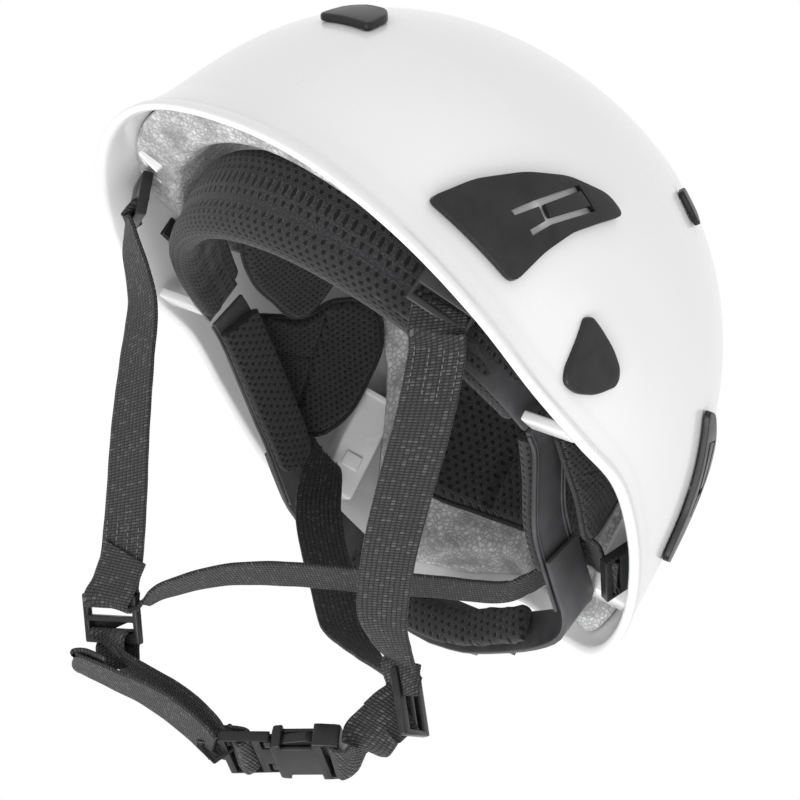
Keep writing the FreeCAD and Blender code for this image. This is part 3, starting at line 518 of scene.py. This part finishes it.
# --------------------------------------------------------------------- ribbons
def spline(points, per_span):
    """Catmull-Rom curve through rows of numbers."""
    pts = np.array(points, float)
    out = []
    for i in range(len(pts) - 1):
        a, b = pts[max(i - 1, 0)], pts[i]
        c, d = pts[i + 1], pts[min(i + 2, len(pts) - 1)]
        for k in range(per_span):
            f = k / per_span
            out.append(b + 0.5 * f * (c - a + f * (2 * a - 5 * b + 4 * c - d + f * (3 * (b - c) + d - a))))
    out.append(pts[-1])
    return np.array(out)


def strip_frames(path, widths):
    tangents = np.gradient(path, axis=0)
    tangents /= np.linalg.norm(tangents, axis=1, keepdims=True)
    across = widths - tangents * np.sum(widths * tangents, axis=1, keepdims=True)
    across /= np.linalg.norm(across, axis=1, keepdims=True)
    return tangents, across, np.cross(tangents, across)


def section(width, thick, crown=0.0):
    """Flat strip outline with rounded selvedges; crown lifts the middle."""
    half, r = width / 2, thick / 2
    top, bottom = [], []
    flat = half - r
    for t in np.linspace(-1, 1, 13):
        top.append((t * flat, r + crown * (1 - t * t)))
    for a in np.linspace(math.pi / 2, -math.pi / 2, 7)[1:-1]:
        top.append((flat + r * math.cos(a), r * math.sin(a)))
    for t in np.linspace(1, -1, 13):
        bottom.append((t * flat, -r - crown * 0.3 * (1 - t * t)))
    for a in np.linspace(-math.pi / 2, -3 * math.pi / 2, 7)[1:-1]:
        bottom.append((-flat + r * math.cos(a), r * math.sin(a)))
    return np.array(top + bottom)


def strip(name, path, widths, width, thick, mat, crown=0.0, scales=None, ripple=0.0):
    """Solid strip along a path in mm, with UVs in metres."""
    _, across, up = strip_frames(path, widths)
    outline = section(width, thick, crown)
    n = len(outline)
    length = np.concatenate([[0.0], np.cumsum(np.linalg.norm(np.diff(path, axis=0), axis=1))])
    girth = np.concatenate([[0.0], np.cumsum(np.linalg.norm(np.diff(
        np.vstack([outline, outline[:1]]), axis=0), axis=1))])
    verts, faces, uvs = [], [], []
    for i, p in enumerate(path):
        scale = 1.0 if scales is None else scales[i]
        wave = ripple * math.sin(length[i] / 7.3) * math.sin(length[i] / 3.1 + 1.0)
        for a, b in outline:
            edge = (a / (width / 2)) ** 2
            verts.append((p + across[i] * a * scale + up[i] * (b + wave * edge)) * MM)
    for i in range(len(path) - 1):
        for k in range(n):
            m = (k + 1) % n
            faces.append((i * n + k, i * n + m, (i + 1) * n + m, (i + 1) * n + k))
            u0, u1 = length[i] * MM, length[i + 1] * MM
            v0, v1 = girth[k] * MM, girth[k + 1] * MM
            uvs.append(((u0, v0), (u0, v1), (u1, v1), (u1, v0)))
    for base, order in ((0, 1), ((len(path) - 1) * n, -1)):
        ring = [base + k for k in range(n)][::order]
        faces.append(tuple(ring))
        uvs.append([(0.0, girth[r - base] * MM) for r in ring])
    obj = add_mesh(name, verts, faces, mat, uvs)
    face_out(obj)
    smooth_by_angle(obj, 60)
    return obj


def spread(directions, count):
    """Width directions spread evenly along a strap."""
    table = np.array(directions, float)
    pos = np.linspace(0, len(table) - 1, count)
    k = np.minimum(pos.astype(int), len(table) - 2)
    f = (pos - k)[:, None]
    return table[k] * (1 - f) + table[k + 1] * f


STRAPS = {
    "strap_front_right": (
        ((-78.2, -72.4, -1.8), (-73.2, -69.6, -9.0), (-63.0, -61.1, -25.3), (-56.5, -55.0, -46.2),
         (-52.4, -47.0, -66.8), (-47.6, -34.2, -93.4), (-45.8, -25.0, -110.5), (-45.2, -20.0, -122.0)),
        ((0.50, -0.80, 0.30), (0.92, -0.25, 0.20), (0.95, -0.05, 0.27), (0.939, 0.052, 0.299))),
    "strap_front_left": (
        ((78.8, -70.2, -4.8), (78.9, -64.5, -10.9), (76.1, -51.4, -30.4), (69.0, -33.2, -55.9),
         (63.4, -17.8, -75.0), (58.4, 0.1, -91.9), (58.2, 12.0, -98.5), (60.0, 20.0, -102.4)),
        ((0.75, 0.60, 0.00), (0.864, 0.382, 0.316), (0.90, 0.15, 0.30), (0.90, 0.10, -0.20))),
    "strap_rear_right": (
        ((-82.4, 80.5, -32.6), (-76.0, 80.8, -29.5), (-69.0, 80.0, -30.5), (-62.0, 77.5, -41.0),
         (-55.0, 75.0, -52.0), (-42.2, 71.7, -65.0), (-17.4, 63.3, -82.7), (6.7, 54.1, -97.8),
         (33.8, 43.8, -105.5), (50.4, 38.2, -108.6)),
        ((0.10, 0.88, -0.30), (0.45, 0.80, -0.30), (0.75, 0.55, 0.05), (0.85, 0.35, 0.10),
         (0.50, 0.80, -0.20))),
    "strap_rear_left": (
        ((82.4, 80.5, -32.6), (76.0, 80.8, -29.5), (69.0, 80.0, -30.5), (62.0, 77.5, -41.0),
         (56.0, 75.0, -50.5), (48.6, 71.4, -57.8), (30.7, 53.6, -68.4), (14.2, 34.4, -79.1),
         (-3.5, 18.6, -88.8), (-20.4, 4.0, -100.6), (-33.0, -6.5, -115.0), (-36.5, -9.5, -121.5)),
        ((-0.10, 0.88, -0.30), (-0.45, 0.80, -0.35), (-0.55, 0.75, -0.30), (-0.45, 0.85, -0.30),
         (-0.55, 0.80, -0.10))),
    "chin_strap_right": (
        ((-40.5, -8.0, -145.6), (-34.0, -5.2, -147.2), (-24.0, 1.0, -148.2), (-12.0, 7.5, -149.6),
         (0.5, 12.6, -153.2), (7.0, 15.0, -156.4)),
        ((0.60, -0.75, 0.25), (0.60, -0.65, 0.35), (0.30, -0.80, 0.45))),
    "chin_tail": (
        ((-45.0, -18.5, -155.0), (-33.0, -11.5, -154.4), (-20.0, -4.0, -154.0), (-7.0, 3.0, -155.6),
         (3.5, 8.6, -158.6), (8.0, 10.6, -160.6)),
        ((0.60, -0.75, 0.25), (0.60, -0.65, 0.35), (0.30, -0.80, 0.45))),
    "chin_strap_left": (
        ((52.6, 30.6, -136.2), (54.4, 30.1, -133.4), (57.0, 29.0, -129.2), (59.2, 27.9, -124.8)),
        ((0.31, -0.85, 0.42), (0.02, -0.68, 0.66), (-0.26, -0.44, 0.76), (-0.46, -0.30, 0.80))),
}


def unit(v):
    v = np.array(v, float)
    return v / np.linalg.norm(v)


def plate(origin, x_axis, y_axis):
    """Origin and square axes of a slotted plate."""
    x = unit(x_axis)
    z = unit(np.cross(x, np.array(y_axis, float)))
    return np.array(origin, float), x, np.cross(z, x), z


RIGHT_DIVIDER = plate((-44.8, -13.6, -134.4), (0.939, 0.052, 0.299), (-0.05, 0.50, -0.86))
BUCKLE = plate((9.5, 16.2, -159.6), (0.842, 0.316, 0.437), (0.31, -0.85, 0.42))
ANCHOR = {}
for word, mirror in (("left", 1), ("right", -1)):
    ANCHOR["front_" + word] = plate((mirror * 78.0, -72.3, 8.1), (mirror * 0.74, 0.66, -0.12),
                                    (mirror * -0.20, 0.20, -0.95))
    ANCHOR["rear_" + word] = plate((mirror * 88.0, 80.5, -31.0), (mirror * -0.25, 0.88, -0.40),
                                   (mirror * -0.35, 0.10, -0.93))


def fold(last, bar, turn, back):
    """Points that carry a strap's end round a bar and back along itself."""
    along = unit(bar - last)
    out = unit(np.cross(turn, along))
    pts = [bar + out * 2.3 - along * 1.5, bar + along * 2.2 + out * 1.2, bar + along * 2.4 - out * 1.2,
           bar - out * 2.5 - along * 1.0]
    side = -out * 2.1
    for d in (0.35, 0.7, 1.0):
        reach = d * back
        pts.append(bar - along * reach + side * (1.0 - 0.25 * d))
    return pts


def divider_bar(frame_data, share):
    return frame_data[0] + frame_data[2] * share


ENDS = {
    "strap_front_right": ("end", divider_bar(RIGHT_DIVIDER, -7.2), RIGHT_DIVIDER[1], 20.0),
    "chin_strap_right": ("start", divider_bar(RIGHT_DIVIDER, 7.2), RIGHT_DIVIDER[1], 12.0),
}


def in_buckle(along, out):
    return BUCKLE[0] + BUCKLE[1] * along + BUCKLE[3] * out


# Further points, with the width direction they reach, that lead each strap into its fitting.
LEADS = {
    "strap_rear_left": ("end", ((-38.6, -11.6, -125.0), (-41.0, -14.2, -128.8)), (-0.90, 0.10, -0.35)),
    "strap_front_left": ("end", ((61.6, 22.8, -107.4), (63.4, 25.4, -112.6)), (0.62, 0.25, -0.74)),
    "strap_rear_right": ("end", ((55.8, 37.2, -109.6), (60.6, 36.6, -111.4)), (0.51, 0.27, -0.81)),
    "chin_strap_right": ("end", (in_buckle(-1.5, -3.4), in_buckle(2.4, -3.1), in_buckle(4.6, -0.2), in_buckle(7.6, 3.1),
                                 in_buckle(10.6, 0.2), in_buckle(10.2, -3.4), in_buckle(5.5, -4.9),
                                 in_buckle(-1.0, -5.1)), BUCKLE[2]),
    "chin_strap_left": ("both", (in_buckle(41.2, -2.6), in_buckle(41.4, 2.6), in_buckle(44.2, 5.8),
                                 in_buckle(48.0, 3.9)), BUCKLE[2]),
}
ROLLED_END = ((-36.4, -13.2, -151.8), (-43.0, -17.2, -151.9), (-46.4, -19.3, -153.3), (-46.3, -19.2, -154.6))


# Start and stop of each sewn patch, in mm along the strap.
SEWN = {"strap_front_right": (124.0, 142.0), "strap_front_left": (18.0, 34.0), "strap_rear_right": (20.0, 30.0),
        "strap_rear_left": (20.0, 30.0)}
SEAM_ROWS, THREAD_LIFT = (-7.6, -2.6, 2.6, 7.6), 0.95


def stitches(name, path, across, up, rows, start, stop, lift, body):
    """Lines of sewing thread along a strip, each stitch a small rounded bead."""
    length = np.concatenate([[0.0], np.cumsum(np.linalg.norm(np.diff(path, axis=0), axis=1))])
    verts, faces = [], []
    pitch, half = 2.6, 0.95
    for row in rows:
        for s0 in np.arange(start, stop, pitch):
            centre = np.array([np.interp(s0, length, path[:, i]) for i in range(3)])
            ahead = np.array([np.interp(s0 + 0.5, length, path[:, i]) for i in range(3)])
            k = int(np.clip(np.searchsorted(length, s0), 0, len(path) - 1))
            t, w, n = unit(ahead - centre), across[k], up[k]
            base = len(verts)
            middle = centre + w * row + n * lift
            for along_by, r in ((-half, 0.05), (-half * 0.6, 0.26), (half * 0.6, 0.26), (half, 0.05)):
                for a in range(6):
                    c, d = math.cos(a * math.pi / 3), math.sin(a * math.pi / 3)
                    verts.append((middle + t * along_by + w * c * r + n * d * r) * MM)
            for j in range(3):
                for a in range(6):
                    b = (a + 1) % 6
                    faces.append((base + j * 6 + a, base + j * 6 + b, base + j * 6 + 6 + b, base + j * 6 + 6 + a))
    obj = add_mesh(name, verts, faces, THREAD)
    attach(obj, body)
    return obj


def make_straps():
    for name, (points, directions) in STRAPS.items():
        points = [np.array(p, float) for p in points]
        table = [np.array(d, float) for d in directions]
        path = spline(points, 14)
        widths = spread(table, len(path))
        if name in ENDS:
            where, bar, turn, back = ENDS[name]
            if where == "start":
                path, widths = path[::-1], widths[::-1]
            last = widths[-1]
            sign = 1.0 if np.dot(last, turn) > 0 else -1.0
            extra = spline([path[-1]] + fold(path[-1], bar, turn * sign, back), 6)[1:]
            path = np.vstack([path, extra])
            tail = np.linspace(0, 1, len(extra))[:, None]
            blend = np.minimum(tail * 4.0, 1.0)
            widths = np.vstack([widths, last * (1 - blend) + turn * sign * blend])
            if where == "start":
                path, widths = path[::-1], widths[::-1]
        if name in LEADS:
            where, more, turn = LEADS[name]
            more = np.array(more)
            if where == "both":
                path = np.vstack([spline(np.vstack([more, path[:1]]), 6)[:-1], path])
                count = len(path) - len(widths)
                share = np.linspace(0, 1, count)[:, None]
                widths = np.vstack([np.array(turn) * (1 - share) + widths[0] * share, widths])
                more, turn = np.array(((61.0, 28.4, -120.2), (63.2, 30.2, -115.4))), (-0.51, -0.27, 0.81)
            extra = spline(np.vstack([path[-1:], more]), 6)[1:]
            share = np.minimum(np.linspace(0, 1.6, len(extra)), 1.0)[:, None]
            sign = 1.0 if np.dot(widths[-1], turn) > 0 else -1.0
            widths = np.vstack([widths, widths[-1] * (1 - share) + np.array(turn) * sign * share])
            path = np.vstack([path, extra])
        if name == "chin_tail":
            lead = spline(np.vstack([np.array(ROLLED_END), path[:1]]), 6)[:-1]
            path = np.vstack([lead, path])
            widths = np.vstack([np.repeat(widths[:1], len(lead), 0), widths])
        if name.startswith("strap_"):
            key = name.replace("strap_", "")
            origin, _, down, out = ANCHOR[key]
            toward = out if np.dot(out, path[0] - origin) > 0 else -out
            window = origin + down * 3.5
            lead = spline([window - toward * 2.4, window + down * 1.0, path[0]], 8)[:-1]
            path = np.vstack([lead, path])
            widths = np.vstack([np.repeat(widths[:1], len(lead), 0), widths])
        obj = strip(name + "_webbing", path, widths, STRAP_WIDTH, STRAP_THICK, WEB, 0.0, None,
                    STRAP_RIPPLE)
        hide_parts(name)
        if name in ("chin_strap_right", "chin_tail"):
            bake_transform(obj)
        else:
            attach(obj, "helmet")
        if name in SEWN:
            start, stop = SEWN[name]
            _, across, up = strip_frames(path, widths)
            for side in (-1, 1):
                stitches("%s_thread_%s" % (name, "a" if side < 0 else "b"), path, across, up,
                         SEAM_ROWS, start, stop, side * THREAD_LIFT, "helmet")



# ------------------------------------------------------------------- soft pads
def fill(obj, pressure, cap, bending, stiffness=None):
    """Let a closed pad fill out under inner pressure, no point moving more than the cap in mm."""
    start = np.array([v.co for v in obj.data.vertices])
    cloth = obj.modifiers.new("fill", "CLOTH")
    cloth.settings.use_pressure = True
    cloth.settings.uniform_pressure_force = pressure
    cloth.settings.effector_weights.gravity = 0.0
    if stiffness is not None:
        cloth.settings.tension_stiffness = stiffness
        cloth.settings.compression_stiffness = stiffness
    cloth.settings.bending_stiffness = bending
    cloth.point_cache.frame_start = 1
    cloth.point_cache.frame_end = CLOTH_FRAMES
    for f in range(1, CLOTH_FRAMES + 1):
        scene.frame_set(f)
    apply_modifiers(obj)
    move = np.array([v.co for v in obj.data.vertices]) - start
    length = np.linalg.norm(move, axis=1, keepdims=True)
    end = start + move * np.minimum(1.0, cap * MM / np.maximum(length, 1e-9))
    obj.data.vertices.foreach_set("co", end.ravel())
    obj.data.update()
    scene.frame_set(1)


def settle(obj, voxel, pressure, cap):
    """Remesh a CAD pad, fill it out and smooth it."""
    mod = obj.modifiers.new("voxels", "REMESH")
    mod.mode = "VOXEL"
    mod.voxel_size = voxel * MM
    apply_modifiers(obj)
    smooth = obj.modifiers.new("smooth", "SMOOTH")
    smooth.iterations = 4
    apply_modifiers(obj)
    fill(obj, pressure, cap, 0.5, 20)
    sub = obj.modifiers.new("finer", "SUBSURF")
    sub.levels = 1
    sub.render_levels = 1
    apply_modifiers(obj)
    obj.data.polygons.foreach_set("use_smooth", [True] * len(obj.data.polygons))
    return obj


def pad_from(node, name, mat, voxel, pressure, cap):
    mesh = NODES[node].data.copy()
    mesh.materials.clear()
    mesh.materials.append(mat)
    obj = bpy.data.objects.new(name, mesh)
    scene.collection.objects.link(obj)
    bm = bmesh.new()
    bm.from_mesh(mesh)
    bmesh.ops.remove_doubles(bm, verts=bm.verts, dist=1e-5)
    bm.to_mesh(mesh)
    bm.free()
    settle(obj, voxel, pressure, cap)
    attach(obj, BODY[node])
    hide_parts(node)
    return obj


def pillow(name, outline, inward, thick, mat, bearing_sign, seams=(), rings=26, around=220):
    """Soft pad on the inner wall from an outline of (bearing, height) degrees, seen from inside."""
    pts = np.array(outline, float)
    loop = spline(np.vstack([pts, pts[:1]]), 20)[:-1]
    step = np.concatenate([[0.0], np.cumsum(np.linalg.norm(np.diff(np.vstack([loop, loop[:1]]), axis=0), axis=1))])
    even = np.linspace(0, step[-1], around, endpoint=False)
    closed = np.vstack([loop, loop[:1]])
    rim = np.stack([np.interp(even, step, closed[:, i]) for i in range(2)], -1)
    middle = rim.mean(axis=0)
    span = np.array((1.75, 2.1))
    verts, faces, flats = [], [], []

    def place(flat, inner):
        b = np.radians(flat[:, 0] * bearing_sign)
        return skin(b, np.radians(flat[:, 1]), inner)

    shares = 1.0 - np.linspace(0, 0.985, rings) ** 1.25
    for sheet in (0, 1):
        for share in shares:
            flat = middle + (rim - middle) * share
            edge = np.linalg.norm((rim - flat) * span, axis=1)
            rise = np.sqrt(np.clip(1 - (1 - np.clip(edge / 4.0, 0, 1)) ** 2, 0, 1))
            groove = np.zeros(len(flat))
            for (b0, h0), (b1, h1) in seams:
                a0, a1 = np.array((b0, h0)) * span, np.array((b1, h1)) * span
                q = flat * span - a0
                d = a1 - a0
                f = np.clip(q @ d / (d @ d), 0, 1)[:, None]
                near = np.linalg.norm(q - f * d, axis=1)
                groove = np.maximum(groove, np.exp(-(near / 1.7) ** 2))
            if sheet == 0:
                inner = inward + thick * (0.25 + 0.75 * rise) * (1 - 0.55 * groove)
            else:
                inner = np.full(len(flat), inward) + 0.2 * thick * (1 - rise)
            verts.append(place(flat, inner))
            flats.append(flat * span * MM)
    points = np.concatenate(verts)
    laid = np.concatenate(flats)
    n = around
    uvs = []

    def quad(*ids):
        faces.append(ids)
        uvs.append([tuple(laid[i]) for i in ids])

    for sheet in (0, 1):
        base = sheet * rings * n
        for j in range(rings - 1):
            for i in range(n):
                k = (i + 1) % n
                quad(base + j * n + i, base + j * n + k, base + (j + 1) * n + k, base + (j + 1) * n + i)
        quad(*[base + (rings - 1) * n + i for i in range(n)])
    for i in range(n):
        k = (i + 1) % n
        quad(i, k, rings * n + k, rings * n + i)
    obj = add_mesh(name, points, faces, mat, uvs)
    face_out(obj)
    border = place(rim, np.full(len(rim), inward + thick * 0.30))
    return obj, border


def tube(name, points, radius, mat, body, closed=False, sides=10):
    """Round piping along points in metres."""
    pts = np.array(points, float)
    n = len(pts)
    if closed:
        tangents = np.roll(pts, -1, 0) - np.roll(pts, 1, 0)
    else:
        tangents = np.gradient(pts, axis=0)
    tangents /= np.linalg.norm(tangents, axis=1, keepdims=True)
    hint = np.array((0.37, 0.61, 0.70))
    a = np.cross(tangents, hint)
    a /= np.linalg.norm(a, axis=1, keepdims=True)
    b = np.cross(tangents, a)
    verts, faces, uvs = [], [], []
    lengths = np.concatenate([[0.0], np.cumsum(np.linalg.norm(np.diff(pts, axis=0), axis=1))])
    for i in range(n):
        for k in range(sides):
            t = 2 * math.pi * k / sides
            verts.append(pts[i] + (a[i] * math.cos(t) + b[i] * math.sin(t)) * radius * MM)
    spans = n if closed else n - 1
    for i in range(spans):
        j = (i + 1) % n
        u0 = lengths[i]
        u1 = u0 + float(np.linalg.norm(pts[j] - pts[i]))
        for k in range(sides):
            m = (k + 1) % sides
            faces.append((i * sides + k, i * sides + m, j * sides + m, j * sides + k))
            v0, v1 = k * radius * MM * 0.6, (k + 1) * radius * MM * 0.6
            uvs.append(((u0, v0), (u0, v1), (u1, v1), (u1, v0)))
    if not closed:
        faces.append(tuple(range(sides))[::-1])
        faces.append(tuple((n - 1) * sides + k for k in range(sides)))
        uvs += [[(0.0, 0.0)] * sides, [(0.0, 0.0)] * sides]
    obj = add_mesh(name, verts, faces, mat, uvs)
    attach(obj, body)
    return obj


SIDE_OUTLINE = ((85, 2), (90, 8), (98, 12), (106, 16), (113, 24), (124, 27), (131, 20), (132.5, 10), (132, 0),
                (128, -8), (122, -10.5), (115, -9.5), (105, -6), (95, -2.5))
SIDE_SEAMS = (((112, 20), (118, -6)),)
TEMPLE_OUTLINE = ((61, 25), (65, 19), (78, 15), (90, 14.6), (97, 14.2), (103, 16.5), (105.5, 24), (104, 33),
                  (92, 37), (76, 36), (65, 32))
REAR_OUTLINE = ((145, 16), (147, 26), (156, 31), (170, 27), (180, 25.5), (190, 27), (204, 31), (213, 26), (215, 16),
                (212, 2), (204, -6.5), (190, -6), (180, -5.5), (170, -6), (156, -6.5), (148, 2))
REAR_SEAMS = (((171.5, 25), (172.5, -4)), ((188.5, 25), (187.5, -4)))


BAND_PATH = ((80.8, 6.0, -5.6), (79.2, 15.0, -10.6), (76.6, 27.0, -17.5), (73.0, 42.0, -27.0), (71.7, 52.0, -32.4),
             (71.6, 62.0, -37.6), (71.6, 67.0, -40.2))
BAND_RAIL = ((81.2, 3.0, -4.4), (80.4, 12.0, -8.0), (76.6, 27.0, -17.5), (73.0, 42.0, -27.0), (71.5, 52.0, -32.4),
             (71.5, 68.0, -40.6), (71.5, 81.0, -47.2))


def finish_pad(obj, node, border, name):
    fill(obj, 2.0, 0.7, 1.0)
    obj.data.polygons.foreach_set("use_smooth", [True] * len(obj.data.polygons))
    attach(obj, BODY[node])
    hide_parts(node)
    tube(name + "_piping", border, 1.15, PIPING, BODY[node], True)


def band_point(angle, grow):
    x = (82.0 + grow) * np.sin(angle)
    y = -(95.0 + grow) * np.cos(angle)
    return np.stack([x, y, 17.0 - 20.0 * (1 - np.cos(angle))], -1)


def make_forehead():
    """Padded sleeve that wraps the front band, with a folded lower edge."""
    count, ring = 180, 44
    angles = np.radians(np.linspace(-84, 84, count))
    verts, faces, uvs = [], [], []
    girth = np.linspace(0, 92.0, ring + 1) * MM
    centre = band_point(angles, -4.2)
    lengths = np.concatenate([[0.0], np.cumsum(np.linalg.norm(np.diff(centre, axis=0), axis=1))]) * MM
    for i, a in enumerate(angles):
        edge = abs(math.degrees(a)) / 84.0
        high = (35.0 - 13.0 * edge ** 2.2) / 2
        deep = 6.2 - 1.8 * edge ** 3
        end = min(1.0, math.sqrt(max(0.0, 1 - max(0.0, (edge - 0.965) / 0.036) ** 2)) + 0.08)
        out = unit((math.sin(a) * 95.0, -math.cos(a) * 82.0, 0.0))
        lump = 0.5 * math.sin(math.degrees(a) / 5.1) * math.sin(math.degrees(a) / 2.3 + 0.7)
        for k in range(ring):
            t = 2 * math.pi * k / ring
            c, d = math.cos(t), math.sin(t)
            x = math.copysign(abs(c) ** 0.62, c) * (deep + (lump if c < 0 else 0.0)) * end
            z = math.copysign(abs(d) ** 0.55, d) * high * end
            seam = math.exp(-((z + high * 0.38) / 1.2) ** 2) + math.exp(-((z - high * 0.55) / 1.2) ** 2)
            x *= 1 - 0.16 * min(seam, 1.0)
            verts.append((centre[i] + out * x + np.array((0, 0, 1.0)) * z) * MM)
    for i in range(count - 1):
        for k in range(ring):
            m = (k + 1) % ring
            faces.append((i * ring + k, i * ring + m, (i + 1) * ring + m, (i + 1) * ring + k))
            u0, u1 = lengths[i], lengths[i + 1]
            uvs.append(((u0, girth[k]), (u0, girth[k + 1]), (u1, girth[k + 1]), (u1, girth[k])))
    for base, order in ((0, -1), ((count - 1) * ring, 1)):
        ids = [base + k for k in range(ring)][::order]
        faces.append(tuple(ids))
        uvs.append([(0.0, 0.0)] * ring)
    obj = add_mesh("forehead_sleeve", verts, faces, MESH_UV, uvs)
    face_out(obj)
    fill(obj, 2.0, 0.8, 1.0)
    obj.data.polygons.foreach_set("use_smooth", [True] * len(obj.data.polygons))
    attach(obj, "helmet")
    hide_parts("forehead_pad")


def make_pads():
    make_forehead()
    pad_from("nape_pad", "nape_cushion", MESH_BACK, 2.6, 3.0, 1.0)
    rear, border = pillow("rear_cushion", REAR_OUTLINE, 25.7, 6.5, MESH_BACK, 1, REAR_SEAMS)
    finish_pad(rear, "rear_pad", border, "rear")
    for side, sign in (("left", 1), ("right", -1)):
        pad, border = pillow("side_cushion_" + side, SIDE_OUTLINE, 25.7, 5.6, MESH_UV, sign, SIDE_SEAMS)
        finish_pad(pad, "side_pad_" + side, border, "side_" + side)
        pad, border = pillow("temple_cushion_" + side, TEMPLE_OUTLINE, 31.7, 5.0, MESH_UV, sign)
        finish_pad(pad, "temple_pad_" + side, border, "temple_" + side)
        path = spline([(sign * (p[0] - 3.3), p[1], p[2]) for p in BAND_PATH], 12)
        widths = np.repeat([(0.0, 0.457, 0.889)], len(path), 0)
        share = np.linspace(0, 1, len(path))
        taper = np.sqrt(np.clip(1 - np.clip((share - 0.80) / 0.205, 0, 1) ** 2, 0.02, 1))
        pad = strip("band_cushion_" + side, path, widths, 20.5, 4.2, MESH_UV, 0.8, taper * (1 - 0.12 * share), 0.0)
        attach(pad, "helmet")
        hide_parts("band_pad_" + side)
        for edge in (-1, 1):
            lift = np.array((0.0, 0.457, 0.889)) * 9.2 * edge
            rail = spline([(sign * (p[0] + 0.9), p[1], p[2]) for p in BAND_RAIL], 10) + lift
            tube("band_rib_%s_%s" % (side, "low" if edge < 0 else "high"), rail * MM, 0.75, BAND, "helmet")
            tube("band_line_%s_%s" % (side, "low" if edge < 0 else "high"), (rail - lift * 0.19) * MM, 0.5, BAND,
                 "helmet")


# ------------------------------------------------------------------ hard parts
# CAD nodes in order, with their material and edge radius in mm.
CORNERS = ("front_left", "front_right", "rear_left", "rear_right")
SIDES = ("left", "right")
HARD = (
    [("lamp_clip_" + c, BLACK, 0.7) for c in CORNERS] + [("clip_tongue_" + c, BLACK, 0.4) for c in CORNERS]
    + [("slot_plug_" + c, BLACK, 0.9) for c in SIDES] + [("front_cover", BLACK, 0.9)]
    + [("crown_cover_" + c, BLACK, 0.5) for c in SIDES] + [("strap_anchor_" + c, ACETAL, 0.6) for c in CORNERS]
    + [("strap_divider_" + c, ACETAL, 0.7) for c in SIDES]
    + [("buckle_female", ACETAL, 0.8), ("buckle_male", ACETAL, 0.5)]
    + [("buckle_prong_" + c, ACETAL, 0.4) for c in ("front", "rear")]
    + [("headband_front", BAND, 0.3)] + [("side_band_" + c, BAND, 0.4) for c in SIDES]
    + [("nape_cradle", BAND, 0.4), ("adjuster_housing", BAND, 0.8), ("adjuster_knob", ACETAL, 0.5),
       ("adjuster_pinion", BAND, 0.15)]
    + [("adjuster_rack_" + c, BAND, 0.15) for c in SIDES] + [("headband_hanger_" + c, SHELL, 0.9) for c in SIDES]
)


def make_hard():
    for node, mat, width in HARD:
        dressed(node, node + "_finished", mat, width)


make_shell()
make_foam()
make_fittings()
make_straps()
make_pads()
make_hard()


# ------------------------------------------------------- floor, light, camera
def make_stage():
    g = Graph("studio_floor")
    at = g.object_coords()
    base = g.mix(g.noise(at, 3.0, 3.0), (0.86, 0.86, 0.86), (0.90, 0.90, 0.90))
    g.finish(base, 0.7, g.bump(g.noise(at, 200.0, 3.0), 0.05, 0.0005))
    size, low = 3.0, -0.80
    floor = add_mesh("studio_floor", [(-size, -size, low), (size, -size, low), (size, size, low), (-size, size, low)],
                     [(0, 1, 2, 3)], g.mat, None, False)
    world = bpy.data.worlds.new("studio")
    scene.world = world
    world.use_nodes = True
    back = world.node_tree.nodes["Background"]
    back.inputs["Color"].default_value = (1.0, 1.0, 1.0, 1.0)
    back.inputs["Strength"].default_value = 1.0
    for name, place, size, power, aim in LIGHTS:
        data = bpy.data.lights.new(name, "AREA")
        data.energy = power
        data.size = size
        lamp = bpy.data.objects.new(name, data)
        scene.collection.objects.link(lamp)
        lamp.location = place
        lamp.rotation_mode = "QUATERNION"
        lamp.rotation_quaternion = (Vector(aim) - Vector(place)).to_track_quat("-Z", "Y")


LIGHTS = (
    ("key_light", (0.1, -0.6, 1.3), 1.4, 1.5, (0.0, 0.0, 0.0)),
    ("inside_light", (0.30, -0.42, -0.62), 0.5, 6.0, (-0.02, 0.03, 0.0)),
    ("side_light", (1.1, 0.1, -0.3), 0.6, 1.5, (0.0, 0.02, -0.03)),
)
RIGHT = Vector((0.7337163, 0.5076235, 0.4516402))
UP = Vector((-0.2570585, -0.4079154, 0.8760856))
TOWARD = Vector((0.6289526, -0.7588962, -0.1688053))
DISTANCE, FOCAL_PIXELS, IMAGE_PIXELS, SENSOR = 943.55, 2492.2, 800.0, 36.0


def make_camera():
    data = bpy.data.cameras.new("main_camera")
    cam = bpy.data.objects.new("main_camera", data)
    scene.collection.objects.link(cam)
    place = (RIGHT * 7.855 - UP * 18.413 + TOWARD * DISTANCE) * MM
    m = Matrix((RIGHT, UP, TOWARD)).transposed().to_4x4()
    m.translation = place
    cam.matrix_world = m
    data.sensor_width = SENSOR
    data.lens = FOCAL_PIXELS / IMAGE_PIXELS * SENSOR
    data.clip_start = 0.05
    data.clip_end = 20.0
    scene.camera = cam


make_stage()
make_camera()
scene.view_settings.view_transform = "Standard"
scene.view_settings.look = "None"
